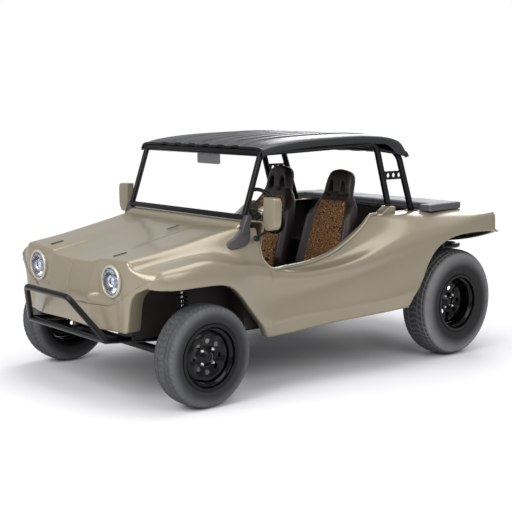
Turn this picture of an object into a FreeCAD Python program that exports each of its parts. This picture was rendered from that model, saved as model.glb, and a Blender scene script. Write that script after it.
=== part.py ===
import FreeCAD, Part
import math
import os
import Sketcher

# Dune buggy: a fibreglass body and roof on a short rear-engined floor pan.
# Millimetres.  +X points forward, +Y to the driver's left, +Z up.
# The origin is on the ground under the middle of the overall length.

doc = FreeCAD.newDocument("buggy")
Vector = FreeCAD.Vector

# ---------------------------------------------------------------- driving sizes
SIZES = (
    ("wheelbase", 2200, "front axle to rear axle"),
    ("front_axle_x", 1080, "front axle ahead of the middle of the length"),
    ("front_reach", 610, "front axle to the nudge bar's front"),
    ("rear_reach", 570, "rear axle to the rear bumper's back"),
    ("roof_height", 1590, "ground to the top of the roof panel"),
    ("deck_height", 1030, "ground to the flat rear deck"),
    ("floor_height", 375, "ground to the underside of the floor pan"),
    ("panel_wall", 9, "thickness of the fibreglass panels"),
    ("front_tyre_diameter", 620, "front tyre"),
    ("front_tyre_width", 195, "front tyre"),
    ("front_wheel_y", "=692.5 + front_tyre_width / 2", "middle of the front tyre"),
    ("rear_tyre_diameter", 760, "rear tyre"),
    ("rear_tyre_width", 250, "rear tyre"),
    ("rear_wheel_y", "=680 + rear_tyre_width / 2", "middle of the rear tyre, clear of the cabin's wall"),
    ("rim_diameter", 381, "bead seat of all four rims"),
    ("rim_hole_diameter", 26, "cooling holes round a rim's disc"),
    ("rim_hole_reach", 88, "cooling holes from the wheel's axis"),
    ("kingpin_y", 672, "steering axis of each front knuckle"),
    ("spindle_diameter", 30, "stub axles"),
    ("hub_clearance", 0.5, "round a stub axle in its hub"),
    ("cabin_half_width", 655, "centre plane to the top of the body side"),
    ("tail_half_width", 980, "centre plane to the tail's corner"),
    ("bar_diameter", 38, "nudge bar and rear bumper tube"),
    ("cage_diameter", 45, "roll cage tube"),
    ("cage_y", 612, "middle of the cage legs"),
    ("windscreen_lean", 19, "windscreen back from upright, degrees"),
    ("windscreen_height", "=455 + (roof_height - 1590) / cos(windscreen_lean * 1 deg)",
     "frame along its slope, up to the roof"),
    ("windscreen_half_width", 640, "frame, outside"),
    ("screen_bar", 32, "width and depth of the frame's bars"),
    ("glass_thickness", 6, "laminated windscreen"),
    ("lamp_diameter", 196, "headlight rim"),
    ("lamp_y", 435, "headlight from the centre plane"),
    ("lamp_height", 752, "headlight above the ground"),
    ("steering_wheel_diameter", 350, "rim, outside"),
    ("steering_rim", 26, "thickness of the steering wheel's rim"),
    ("column_angle", 25, "steering column above level, degrees"),
    ("column_diameter", 46, "steering column jacket"),
    ("driver_y", 320, "middle of the driver's seat and steering wheel"),
    ("seat_width", 500, "each bucket seat"),
    ("seat_back_height", "=838 + (roof_height - 1590)", "seat back, along its slope"),
    ("rib_height", 5, "ribs pressed into the roof"),
    ("rib_width", 46, "ribs pressed into the roof"),
    ("niche_depth", 38, "headlights set back from the nose"),
    ("plate_width", 700, "recess for a number plate in the tail"),
    ("tail_niche_depth", 22, "tail lights set forward of the tail's middle"),
    ("cushion_thickness", 52, "rear deck cushion"),
    ("kingpin_diameter", 36, "steering swivel of each knuckle"),
    ("seat_gap", 0.3, "between a piece and what it stands on"),
)

sheet = doc.addObject("Spreadsheet::Sheet", "sizes")
for row, (alias, value, note) in enumerate(SIZES, 1):
    sheet.set("A%d" % row, note)
    sheet.set("B%d" % row, str(value))
    sheet.setAlias("B%d" % row, alias)
doc.recompute()
size = {alias: float(getattr(sheet.get(alias), "Value", sheet.get(alias))) for alias, value, note in SIZES}

WALL = size["panel_wall"]
FRONT = size["front_axle_x"]
REAR = FRONT - size["wheelbase"]
DECK = size["deck_height"]
NOSE_END = FRONT + size["front_reach"]
TAIL_END = REAR - size["rear_reach"]
GAP = size["seat_gap"]

nodes = {}


def node(label, thing):
    """Names a finished sub-part; its label names its file."""
    thing.Label = label
    nodes[label] = thing
    return thing


def feature(label, shape):
    """A sub-part or tool whose shape comes from the functions below."""
    thing = doc.addObject("Part::Feature", label)
    thing.Shape = shape
    return thing


# ---------------------------------------------------------------- shape helpers
def block(low, high):
    """A box from its lowest to its highest corner."""
    span = Vector(*high) - Vector(*low)
    return Part.makeBox(span.x, span.y, span.z, Vector(*low))


def rod(start, end, radius):
    """A solid cylinder from one point to another."""
    along = Vector(*end) - Vector(*start)
    return Part.makeCylinder(radius, along.Length, Vector(*start), along)


def fused(shapes):
    """One clean solid from shapes that overlap or touch."""
    shapes = list(shapes)
    return shapes[0].multiFuse(shapes[1:]).removeSplitter()


def mirrored(shape):
    """The same shape on the other side of the buggy."""
    return shape.mirror(Vector(0, 0, 0), Vector(0, 1, 0))


def plate(outline, axis, low, high):
    """A flat outline of points in the plane across axis, extruded from low to high."""
    place = {"x": lambda a, b: Vector(low, a, b),
             "y": lambda a, b: Vector(a, low, b),
             "z": lambda a, b: Vector(a, b, low)}[axis]
    corners = [place(a, b) for a, b in outline]
    face = Part.Face(Part.makePolygon(corners + corners[:1]))
    push = {"x": Vector(high - low, 0, 0), "y": Vector(0, high - low, 0), "z": Vector(0, 0, high - low)}
    return face.extrude(push[axis])


def bent_path(points, bend):
    """Straight runs through the points, joined by tangent arcs of one radius."""
    points = [Vector(*point) for point in points]
    edges = []
    start = points[0]
    for before, corner, after in zip(points, points[1:], points[2:]):
        into = (corner - before).normalize()
        out = (after - corner).normalize()
        turn = into.getAngle(out)
        cut = bend * math.tan(turn / 2)
        middle = (out - into).normalize()
        near = corner - into * cut
        far = corner + out * cut
        top = corner + middle * (bend / math.cos(turn / 2) - bend)
        edges.append(Part.LineSegment(start, near).toShape())
        edges.append(Part.Arc(near, top, far).toShape())
        start = far
    edges.append(Part.LineSegment(start, points[-1]).toShape())
    return Part.Wire(edges)


def bent_bar(points, radius, bend):
    """A round bar bent along a path."""
    path = bent_path(points, bend)
    start = path.Edges[0]
    along = start.tangentAt(start.FirstParameter)
    circle = Part.Wire(Part.makeCircle(radius, start.valueAt(start.FirstParameter), along))
    return path.makePipeShell([circle], True, False)


def offset_points(points, wall, first_upright=False, last_upright=False):
    """The open outline moved inwards (to its right) by the wall, with mitred corners.

    An upright end is cut along a vertical line, so that it meets its neighbour face to face.
    """
    shifted = []
    count = len(points)
    for index, (a, b) in enumerate(points):
        normals = []
        for low, high in ((index - 1, index), (index, index + 1)):
            if low >= 0 and high < count:
                da = points[high][0] - points[low][0]
                db = points[high][1] - points[low][1]
                reach = math.hypot(da, db)
                normals.append((db / reach, -da / reach))
        na = sum(normal[0] for normal in normals) / len(normals)
        nb = sum(normal[1] for normal in normals) / len(normals)
        stretch = wall / (na * na + nb * nb)
        upright = (index == 0 and first_upright) or (index == count - 1 and last_upright)
        if upright:
            shifted.append((a, b + wall / nb))
        else:
            shifted.append((a + na * stretch, b + nb * stretch))
    return shifted


def skin(stations, wall, first_upright=False, last_upright=False):
    """A panel lofted through open YZ outlines at each station, with its wall inside.

    Each station is (x, outline); the outline runs so that the inside is on its right.
    """
    wires = []
    for x, outline in stations:
        inner = offset_points(outline, wall, first_upright, last_upright)
        loop = [Vector(x, a, b) for a, b in list(outline) + inner[::-1]]
        wires.append(Part.makePolygon(loop + loop[:1]))
    return Part.makeLoft(wires, True, True)


# ---------------------------------------------------------------- sketch helpers
PLANES = {"XY": "XY_Plane", "XZ": "XZ_Plane", "YZ": "YZ_Plane"}


def outline_sketch(body, plane, corners):
    """A closed outline on one of the body's own planes, each corner bound to two formulas."""
    sketch = body.newObject("Sketcher::SketchObject", body.Name + "_outline")
    support = [item for item in body.Origin.OriginFeatures if item.Role == PLANES[plane]]
    sketch.AttachmentSupport = [(support[0], "")]
    sketch.MapMode = "FlatFace"
    places = [(float(sheet.evalExpression(a)), float(sheet.evalExpression(b))) for a, b in corners]
    count = len(places)
    for index, (a, b) in enumerate(places):
        after = places[(index + 1) % count]
        sketch.addGeometry(Part.LineSegment(Vector(a, b, 0), Vector(after[0], after[1], 0)), False)
    for index in range(count):
        sketch.addConstraint(Sketcher.Constraint("Coincident", index, 2, (index + 1) % count, 1))
    for index, (formula_a, formula_b) in enumerate(corners):
        for kind, formula, value in (("DistanceX", formula_a, places[index][0]),
                                     ("DistanceY", formula_b, places[index][1])):
            place = sketch.addConstraint(Sketcher.Constraint(kind, -1, 1, index, 1, value))
            sketch.setExpression("Constraints[%d]" % place, bound(formula))
    return sketch


def bound(formula):
    """A formula with each size's name pointing at its cell."""
    for alias in sorted(size, key=len, reverse=True):
        formula = formula.replace(alias, "<" + str(list(size).index(alias)) + ">")
    for index, alias in enumerate(size):
        formula = formula.replace("<%d>" % index, "sizes." + alias)
    return formula


def revolved_body(label, corners):
    """A turned piece about the sketch's own level axis; corners are (along, radius)."""
    body = doc.addObject("PartDesign::Body", label)
    sketch = outline_sketch(body, "XY", corners)
    turn = body.newObject("PartDesign::Revolution", label + "_turn")
    turn.Profile = sketch
    turn.ReferenceAxis = (sketch, ["H_Axis"])
    turn.Angle = 360
    return body


def padded_body(label, plane, corners, length, midplane=False):
    """An outline padded from its plane, or evenly both ways."""
    body = doc.addObject("PartDesign::Body", label)
    sketch = outline_sketch(body, plane, corners)
    pad = body.newObject("PartDesign::Pad", label + "_pad")
    pad.Profile = sketch
    pad.setExpression("Length", bound(length))
    pad.Midplane = midplane
    return body


def round_holes(body, radius, reach, count):
    """Holes through a turned disc, spaced evenly round its axis."""
    sketch = body.newObject("Sketcher::SketchObject", body.Name + "_hole")
    support = [item for item in body.Origin.OriginFeatures if item.Role == "YZ_Plane"]
    sketch.AttachmentSupport = [(support[0], "")]
    sketch.MapMode = "FlatFace"
    places = {"Radius": radius, "DistanceX": reach, "DistanceY": "0"}
    sizes = {kind: float(sheet.evalExpression(formula)) for kind, formula in places.items()}
    sketch.addGeometry(Part.Circle(Vector(sizes["DistanceX"], 0, 0), Vector(0, 0, 1), sizes["Radius"]), False)
    sketch.addConstraint(Sketcher.Constraint("Radius", 0, sizes["Radius"]))
    sketch.addConstraint(Sketcher.Constraint("DistanceX", -1, 1, 0, 3, sizes["DistanceX"]))
    sketch.addConstraint(Sketcher.Constraint("PointOnObject", 0, 3, -1))
    sketch.setExpression("Constraints[0]", bound(radius))
    sketch.setExpression("Constraints[1]", bound(reach))
    doc.recompute()
    before = body.Shape.Volume
    pocket = body.newObject("PartDesign::Pocket", body.Name + "_pocket")
    pocket.Profile = sketch
    pocket.Type = 1
    pocket.Midplane = True
    pattern = body.newObject("PartDesign::PolarPattern", body.Name + "_holes")
    pattern.Originals = [pocket]
    axis = [item for item in body.Origin.OriginFeatures if item.Role == "X_Axis"]
    pattern.Axis = (axis[0], [""])
    pattern.Angle = 360
    pattern.Occurrences = count
    body.Tip = pattern
    doc.recompute()
    if body.Shape.Volume > before - 10:
        raise SystemExit(body.Label + ": its holes cut nothing")


def set_block(label, low, spans):
    """A Part::Box bound to formulas for its lowest corner and its three spans."""
    box = doc.addObject("Part::Box", label)
    for name, formula in zip(("Length", "Width", "Height"), spans):
        box.setExpression(name, bound(formula))
    for name, formula in zip("xyz", low):
        box.setExpression("Placement.Base." + name, bound(formula))
    return box


def joined(label, pieces):
    """A Part::MultiFuse of pieces that overlap or touch."""
    fuse = doc.addObject("Part::MultiFuse", label)
    fuse.Shapes = pieces
    fuse.Refine = True
    return fuse


# ---------------------------------------------------------------- body outlines
# One row per station, seen from behind on the left side of the buggy.
# behind: share of the wheelbase behind the front axle; ahead: millimetres forward of that place.
# Then seven corners of the outer skin as (y, z): top edge, upper side, valley or door lip,
# shoulder, waist, lower crease and bottom edge.
SIDE = (
    # behind, ahead, top, upper, valley, shoulder, waist, crease, bottom
    (0.0, 390, (600, 880), (655, 848), (705, 842), (765, 822), (775, 700), (700, 560), (580, 455)),
    (0.0, 180, (602, 912), (665, 868), (735, 882), (830, 865), (852, 760), (800, 560), (720, 400)),
    (0.0, -40, (605, 952), (675, 885), (740, 890), (838, 868), (862, 760), (830, 560), (760, 360)),
    (0.0, -260, (615, 995), (690, 895), (745, 858), (825, 822), (842, 700), (815, 520), (760, 345)),
    (0.0, -430, (630, 1030), (682, 930), (722, 850), (800, 778), (775, 640), (780, 430), (745, 336)),
    (0.332, 0, (650, 1010), (672, 800), (705, 722), (800, 718), (765, 600), (810, 450), (780, 350)),
    (0.464, 0, (652, 1010), (672, 800), (705, 722), (815, 722), (785, 620), (845, 465), (820, 375)),
    (0.591, 0, (655, 1015), (675, 850), (715, 780), (835, 760), (815, 650), (895, 490), (875, 395)),
    (1.0, 640, (655, 1028), (685, 985), (750, 895), (860, 822), (850, 690), (935, 520), (925, 415)),
    (1.0, 450, (655, DECK), (705, 1020), (790, 960), (885, 868), (885, 735), (955, 560), (945, 435)),
    (1.0, 130, (655, DECK), (740, 1024), (840, 982), (935, 930), (950, 850), (965, 760), (965, 640)),
    (1.0, -100, (655, DECK), (780, 1026), (880, 1008), (965, 980), (975, 920), (978, 860), (978, 780)),
    (1.0, -420, (655, DECK), (800, 1028), (900, 1024), (978, 1018), (980, 960), (980, 900), (980, 820)),
)


def station_x(behind, ahead):
    return FRONT - behind * size["wheelbase"] + ahead


def side_stations(first, last):
    """The skin outlines of the left side, listed from the bottom edge up and over."""
    rows = SIDE[first:last]
    return [(station_x(row[0], row[1]), list(row[2:])) for row in rows]


FRONT_ARCH = [(FRONT + ahead, z) for ahead, z in (
    (362, 100), (362, 630), (335, 675), (285, 708), (170, 727), (0, 735), (-137, 727), (-200, 695),
    (-263, 641), (-408, 515), (-556, 338), (-640, 100))]
REAR_ARCH = [(REAR + ahead, z) for ahead, z in (
    (600, 100), (557, 428), (500, 500), (430, 585), (365, 680), (300, 768), (235, 822), (165, 858),
    (60, 885), (-120, 893), (-700, 885), (-700, 100))]
DOOR = [(x, z) for x, z in (
    (station_x(0, -536), 1200), (station_x(0, -536), 860), (station_x(0, -563), 790),
    (station_x(0, -625), 764), (station_x(0, -700), 756), (station_x(0.42, 0), 753),
    (station_x(0.516, 0), 790), (station_x(0.598, 0), 862), (station_x(1, 727), 958),
    (station_x(1, 600), 1060), (station_x(1, 560), 1200))]

# ---------------------------------------------------------------- body sides and front wings
front_arch = plate(FRONT_ARCH, "y", -1200, 1200)
rear_arch = plate(REAR_ARCH, "y", -1200, 1200)


def tail_edge(y):
    """Plan and lower edge of the tail panel's outer face at a distance from the centre plane."""
    share = min(1.0, abs(y) / size["tail_half_width"])
    top_x = REAR - 340 - 100 * (1 - share ** 2)
    bottom_x = top_x - 12 - 55 * (1 - share ** 2)
    bottom_z = DECK - 318 + 170 * share ** 2
    return top_x, bottom_x, bottom_z


TAIL_STEPS = [size["tail_half_width"] * share for share in (-1, -0.72, -0.45, -0.2, 0.2, 0.45, 0.72, 1)]


def tail_slab(inset, depth):
    """The tail's curved plate: its back face lies inset inside the outer face, depth thick."""
    wires = []
    for y in TAIL_STEPS:
        top_x, bottom_x, bottom_z = tail_edge(y)
        corners = ((top_x + inset, DECK), (bottom_x + inset, bottom_z),
                   (bottom_x + inset + depth, bottom_z), (top_x + inset + depth, DECK))
        loop = [Vector(x, y, z) for x, z in corners]
        wires.append(Part.makePolygon(loop + loop[:1]))
    return Part.makeLoft(wires, True, True)


def behind_tail():
    """Everything behind the tail panel's inner face, for trimming the deck and the sides."""
    wires = []
    outermost = size["tail_half_width"] * 1.15
    for y in [-outermost] + TAIL_STEPS + [outermost]:
        top_x, bottom_x, bottom_z = tail_edge(y)
        slope = (top_x - bottom_x) / (DECK - bottom_z)
        corners = ((top_x + WALL + slope * 200, DECK + 200), (bottom_x + WALL - slope * 300, bottom_z - 300),
                   (REAR - 1500, bottom_z - 300), (REAR - 1500, DECK + 200))
        loop = [Vector(x, y, z) for x, z in corners]
        wires.append(Part.makePolygon(loop + loop[:1]))
    return Part.makeLoft(wires, True, True)


tail_trim = behind_tail().fuse(tail_slab(0, WALL))
door_cut = plate(DOOR, "y", 500, 1200)
# Seen from ahead, the wheel stands clear of the nose: the wing's corner ends above it.
NOSE_OUTLINE = [(600, 880), (655, 848), (705, 842), (765, 822), (770, 715), (700, 687), (625, 645), (605, 550),
                (580, 455)]
corner_notch = plate(NOSE_OUTLINE[4:] + [(580, 100), (1200, 100), (1200, 715)], "x", FRONT + 200, FRONT + 600)
wing = skin(side_stations(0, 5), WALL, first_upright=True).cut(front_arch).cut(corner_notch)
wing = max(wing.Solids, key=lambda solid: solid.Volume)
flank = skin(side_stations(4, len(SIDE)), WALL, first_upright=True)
flank = flank.cut(front_arch).cut(rear_arch).cut(door_cut).cut(tail_trim)
for side, turn in (("left", lambda shape: shape), ("right", mirrored)):
    node("front_wing_" + side, feature("front_wing_" + side, turn(wing)))
    node("body_side_" + side, feature("body_side_" + side, turn(flank)))

# ---------------------------------------------------------------- hood
# One row per station: millimetres ahead of the front axle, then ridge, recess and middle as (y, z).
# The outer edge lies on the top edge of the front wings.
HOOD = (
    (390, (285, 874), (235, 850), (0, 842)),
    (180, (285, 911), (235, 892), (0, 886)),
    (-40, (285, 953), (235, 940), (0, 936)),
    (-260, (285, 996), (235, 990), (0, 988)),
    (-400, (285, 1024), (235, 1023), (0, 1023)),
)


def wing_edge(ahead):
    """The top edge of the front wing at a distance ahead of the front axle."""
    for front, back in zip(SIDE, SIDE[1:5]):
        if back[1] <= ahead <= front[1]:
            share = (front[1] - ahead) / (front[1] - back[1])
            return tuple(a + share * (b - a) for a, b in zip(front[2], back[2]))


hood_stations = []
for ahead, *half in HOOD:
    half = [wing_edge(ahead)] + half
    right = [(-y, z) for y, z in half]
    hood_stations.append((FRONT + ahead, right + half[-2::-1]))
hood = skin(hood_stations, WALL, True, True)
node("hood", feature("hood", hood))

# ---------------------------------------------------------------- nose
NOSE_X = FRONT + 390
NOSE_LOW = 455
KNEE = 620
NOSE_TOP = 900
# distance from the centre plane, then how far forward the outer face stands at its foot, knee and top
NOSE_PLAN = ((0, 445, 450, 391), (260, 445, 450, 391), (600, 374, 374, 374), (780, 340, 340, 340))


def nose_shell(inset):
    """The nose's folded panel back to the wings' front edge, moved inwards by an inset."""
    wires = []
    rows = [(-row[0],) + row[1:] for row in NOSE_PLAN[::-1]] + list(NOSE_PLAN[1:])
    for y, foot, knee, top in rows:
        reach = [max(value, 350) - inset for value in (foot, knee, top)]
        corners = ((reach[0], NOSE_LOW), (reach[1], KNEE), (reach[2], NOSE_TOP), (300, NOSE_TOP), (300, NOSE_LOW))
        loop = [Vector(FRONT + ahead, y, z) for ahead, z in corners]
        wires.append(Part.makePolygon(loop + loop[:1]))
    return Part.makeLoft(wires, True, True)


def niche(sign, inset):
    """The upright niche of a headlight, with the slope and the shelf that lead into it."""
    back = NOSE_X + 6 - inset
    mouth = back + 2 * size["niche_depth"]
    wires = []
    for x, inner_top, inner_foot, shelf in ((back, 285, 302, 668), (mouth, 235, 128, 590)):
        corners = [(inner_top, NOSE_TOP), (620 + 60 * (x > back), NOSE_TOP), (620 + 60 * (x > back), shelf),
                   (inner_foot, shelf)]
        wires.append(Part.makePolygon([Vector(x, sign * y, z) for y, z in corners + corners[:1]]))
    return Part.makeLoft(wires, True, True)


nose_face = NOSE_OUTLINE + [(-y, z) for y, z in NOSE_OUTLINE[::-1]] + [(-285, 874), (-235, 850), (235, 850),
                                                                       (285, 874)]
front_view = plate(nose_face, "x", NOSE_X, NOSE_X + 200)
pods = [plate([(sign * y, z) for y, z in ((285, 874), (600, 880), (655, 848), (705, 842), (765, 822), (770, 715),
                                          (700, 687), (625, 645), (285, 645))], "x", NOSE_X, NOSE_X + 6)
        for sign in (-1, 1)]
nose = nose_shell(0)
for sign in (-1, 1):
    nose = nose.cut(niche(sign, 0))
nose = fused([nose.common(front_view)] + pods + [plate(nose_face, "x", NOSE_X, NOSE_X + 3)])
hollow = plate([(-200, 480), (-200, 700), (200, 700), (200, 480)], "x", NOSE_X - 1, NOSE_X + 100)
nose = nose.cut(hollow.common(nose_shell(WALL)))
for sign in (-1, 1):
    nose = nose.cut(rod((NOSE_X - 40, sign * size["lamp_y"], size["lamp_height"]),
                        (NOSE_X + 90, sign * size["lamp_y"], size["lamp_height"]), size["lamp_diameter"] / 2 + 1))
node("nose_panel", feature("nose_panel", nose))

# ---------------------------------------------------------------- headlights
lamp_radius = size["lamp_diameter"] / 2
bowls = []
for sign in (-1, 1):
    middle = Vector(NOSE_X - 30, sign * size["lamp_y"], size["lamp_height"])
    bowl = Part.makeCone(60, lamp_radius, 45, middle - Vector(45, 0, 0), Vector(1, 0, 0))
    ring = Part.makeCylinder(lamp_radius, 50, middle, Vector(1, 0, 0))
    lens_ball = Part.makeSphere(260, middle + Vector(50 - 240, 0, 0))
    bowls.append(fused([bowl, ring]).fuse(
        lens_ball.common(Part.makeCylinder(lamp_radius - 6, 40, middle + Vector(44, 0, 0), Vector(1, 0, 0)))))
node("headlights", feature("headlights", Part.makeCompound(bowls)))

# ---------------------------------------------------------------- tail panel, deck and tail lights
def set_in(panel, outline, depth):
    """Sets part of the tail forward by a depth, with walls round it; outline is (y, z)."""
    area = sum(a[0] * b[1] - b[0] * a[1] for a, b in zip(outline, outline[1:] + outline[:1]))
    ring = offset_points(outline + outline[:1], math.copysign(WALL, area))
    window = plate(outline, "x", REAR - 700, REAR)
    around = plate(ring[:-1], "x", REAR - 700, REAR)
    tray = fused([panel, tail_slab(1, depth + WALL - 1).common(around)])
    return tray.cut(tail_slab(-5, depth + 5).common(window))


def lamp_area(low, high):
    """The long lamp's outline seen from behind, between two heights below the deck."""
    return block((REAR - 700, 560, DECK - low), (REAR, 900, DECK - high))


niche_depth = size["tail_niche_depth"]
half_plate = size["plate_width"] / 2
tail = tail_slab(0, WALL)
plate_area = [(-half_plate, DECK - 175), (half_plate, DECK - 175), (half_plate - 28, DECK - 32),
              (32 - half_plate, DECK - 32)]
lamp_niche = [(398, DECK - 178), (884, DECK - 160), (928, DECK - 36), (474, DECK - 19)]
tail = set_in(tail, plate_area, 8)
tail = set_in(tail, lamp_niche, niche_depth)
tail = set_in(tail, [(-y, z) for y, z in lamp_niche[::-1]], niche_depth)
lamp = lamp_area(103, 32).common(tail_slab(niche_depth - 9, WALL + 9))
lamps = [lamp, mirrored(lamp)]
tail = tail.cut(lamp).cut(mirrored(lamp))
node("tail_panel", feature("tail_panel", tail))
node("tail_lights", feature("tail_lights", Part.makeCompound(lamps)))

deck_half = size["cabin_half_width"]
well_half = size["cage_y"] - 45
deck = block((REAR - 700, -deck_half, DECK - WALL), (REAR + 560, deck_half, DECK))
deck = deck.cut(block((REAR + 50, -well_half, DECK - 50), (REAR + 700, well_half, DECK + 50)))
deck = deck.cut(tail_trim).cut(tail).cut(door_cut).cut(mirrored(door_cut))
wedge = plate([(REAR + 520, DECK), (REAR + 455, DECK + 45), (REAR + 385, DECK + 45), (REAR + 385, DECK)],
              "y", size["cage_y"] - 40, size["cage_y"] + 40)
deck = fused([deck, wedge, mirrored(wedge)])
node("rear_deck", feature("rear_deck", deck))

# ---------------------------------------------------------------- rear cushion
back, front, hook, notch = "-225", "62", "160", "660"
cushion_outline = [(back, "-745"), (back, "745"), (hook, "775"), (hook, notch), (front, notch), (front, "560"),
                   (front, "-560"), (front, "-660"), (hook, "-660"), (hook, "-775")]
cushion = padded_body("rear_cushion", "XY", cushion_outline, "cushion_thickness")
cushion.setExpression("Placement.Base.x", bound("front_axle_x - wheelbase"))
cushion.setExpression("Placement.Base.z", bound("deck_height + seat_gap"))
node("rear_cushion", cushion)

# ---------------------------------------------------------------- floor pan and inner panels
floor_low = size["floor_height"]
pan_top = floor_low + 16
pan_front = FRONT - 330
pan_back = REAR + 240
pan_half = size["cabin_half_width"]
beam_x = FRONT - 30
pan = block((pan_back, -pan_half, floor_low), (pan_front - 110, pan_half, pan_top))
pan = pan.fuse(block((pan_front - 110, -488, floor_low), (pan_front, 488, pan_top)))
tunnel = plate([(-75, floor_low), (-60, pan_top + 120), (-30, pan_top + 150), (30, pan_top + 150),
                (60, pan_top + 120), (75, floor_low)], "x", pan_back, pan_front)
head = block((pan_front, -150, floor_low - 30), (beam_x - 40, 150, floor_low + 60))
toe = plate([(pan_front, floor_low), (FRONT - 130, 800), (FRONT - 130, 816), (pan_front - 12, pan_top)],
            "y", -488, 488)
tilt = math.radians(size["column_angle"])
toward_driver = Vector(-math.cos(tilt), 0, math.sin(tilt))
hub = Vector(FRONT - 893, size["driver_y"], 1078)
column_length = 750
column_solid = Part.makeCylinder(size["column_diameter"] / 2 + GAP, column_length,
                                 hub - toward_driver * (column_length + 60), toward_driver)
pan = fused([pan, tunnel, head, toe]).cut(column_solid)
node("floor_pan", feature("floor_pan", pan))

# Black inner walls: beside each front wheel, across behind it, then along the cabin to the tail.
well_y = 488
sheet_wall = 9
side_y = size["cabin_half_width"]
well_end = FRONT + 300
shock_height = 670
well_plan = [(pan_front - 102, well_y), (pan_front - 102, side_y + sheet_wall),
             (pan_front - 93, side_y + sheet_wall), (pan_front - 93, well_y + sheet_wall),
             (well_end, well_y + sheet_wall), (well_end, well_y)]
well = plate(well_plan, "z", pan_top, 700)
well = well.fuse(block((pan_front - 93, well_y, 700), (well_end, well_y + sheet_wall, 850)))
cabin_wall = block((REAR + 50, side_y, pan_top), (pan_front - 102, side_y + sheet_wall, DECK - WALL))
cabin_wall = cabin_wall.cut(door_cut).cut(plate([(x, z - 12) for x, z in DOOR], "y", 500, 1200))
cabin_wall = cabin_wall.cut(block((station_x(0, -545), 600, 900), (FRONT, 700, 1200)))
cabin_wall = cabin_wall.cut(block((station_x(1, 560), 600, 1000), (FRONT, 700, 1200)))
inner = fused([well, cabin_wall]).cut(flank)
inner = inner.cut(rod((beam_x, 400, shock_height), (beam_x, 600, shock_height), 12 + GAP))
node("inner_sides", feature("inner_sides", Part.makeCompound([inner, mirrored(inner)])))

# The cabin's back: up from the floor, back over the gearbox as a shelf, then up to the deck.
back_line = [(REAR + 50, DECK - WALL), (REAR + 50, 745), (pan_back, 715), (pan_back, floor_low)]
back_inner = offset_points(back_line, sheet_wall)
bulkhead = plate(back_line + back_inner[::-1], "y", -side_y, side_y)
node("rear_bulkhead", feature("rear_bulkhead", bulkhead))

# ---------------------------------------------------------------- dashboard
cowl = [(FRONT - 400, 1023), (FRONT - 452, 1066), (FRONT - 600, 1056), (FRONT - 622, 1035), (FRONT - 590, 862),
        (FRONT - 560, 850)]
cowl_inner = offset_points(cowl[::-1], WALL, last_upright=True)
dash = plate(cowl + cowl_inner, "y", -622, 622)
glove_box = plate([(FRONT - 604, 980), (FRONT - 642, 966), (FRONT - 622, 868), (FRONT - 586, 862)], "y", -575, -205)
hump = plate([(FRONT - 600, 1052), (FRONT - 652, 1044), (FRONT - 640, 936), (FRONT - 596, 940)], "y",
             size["driver_y"] - 175, size["driver_y"] + 175)
gauges = [rod((FRONT - 660, size["driver_y"] + y, 993), (FRONT - 630, size["driver_y"] + y, 993), radius)
          for y, radius in ((-130, 30), (-48, 44), (48, 44), (130, 30))]
dash = fused([dash, glove_box.fuse(hump).cut(plate(cowl[:1] + cowl, "y", -622, 622))] + gauges).cut(column_solid)
node("dashboard", feature("dashboard", dash))

# ---------------------------------------------------------------- windscreen
lean = math.radians(size["windscreen_lean"])
bar = size["screen_bar"]
screen_foot = Vector(FRONT - 452, 0, 1066 + math.sin(lean) * bar / 2 + GAP)


def leaned(shape):
    """Stands a shape, drawn upright at the origin, on the cowl and leans it back."""
    copy = shape.copy()
    copy.rotate(Vector(0, 0, 0), Vector(0, 1, 0), -size["windscreen_lean"])
    copy.translate(screen_foot)
    return copy


half = size["windscreen_half_width"]
tall = size["windscreen_height"]
frame_shape = block((-bar / 2, -half, 0), (bar / 2, half, tall))
frame_shape = frame_shape.cut(block((-bar, -half + bar, bar), (bar, half - bar, tall - bar)))
frame_shape = leaned(frame_shape)
pillar = leaned(block((-bar / 2, 624, -38), (bar / 2, 656, 60)))
foot_side = plate([(FRONT - 450, 1060), (FRONT - 395, 1010), (FRONT - 285, 950), (FRONT - 275, 925),
                   (FRONT - 300, 905), (FRONT - 430, 918), (FRONT - 475, 960), (FRONT - 480, 1060)],
                  "y", 500, 800)
foot = skin(side_stations(3, 6), -16).common(foot_side)
screen = fused([frame_shape, pillar, mirrored(pillar), foot, mirrored(foot)])
screen = screen.cut(wing).cut(mirrored(wing)).cut(flank).cut(mirrored(flank))
node("windscreen_frame", feature("windscreen_frame", screen))
glass = set_block("windscreen_glass", (
    "front_axle_x - 452 - screen_bar * sin(windscreen_lean * 1 deg) - glass_thickness / 2 * cos(windscreen_lean * 1 deg)",
    "screen_bar - windscreen_half_width",
    "1066 + seat_gap + screen_bar * (sin(windscreen_lean * 1 deg) / 2 + cos(windscreen_lean * 1 deg))"
    " - glass_thickness / 2 * sin(windscreen_lean * 1 deg)"),
    ("glass_thickness", "2 * (windscreen_half_width - screen_bar)", "windscreen_height - 2 * screen_bar"))
glass.Placement = FreeCAD.Placement(glass.Placement.Base, FreeCAD.Rotation(Vector(0, -1, 0), 10))
glass.setExpression("Placement.Rotation.Angle", bound("windscreen_lean * 1 deg"))
node("windscreen_glass", glass)

# ---------------------------------------------------------------- roof panel
TOP = size["roof_height"]
rib_height = size["rib_height"]
rib_half = size["rib_width"] / 2
screen_top = screen_foot + Vector(-math.sin(lean) * tall, 0, math.cos(lean) * tall)
frame_crest = screen_top.z + math.sin(lean) * bar / 2
front_drop = TOP - frame_crest - WALL - 10
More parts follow.
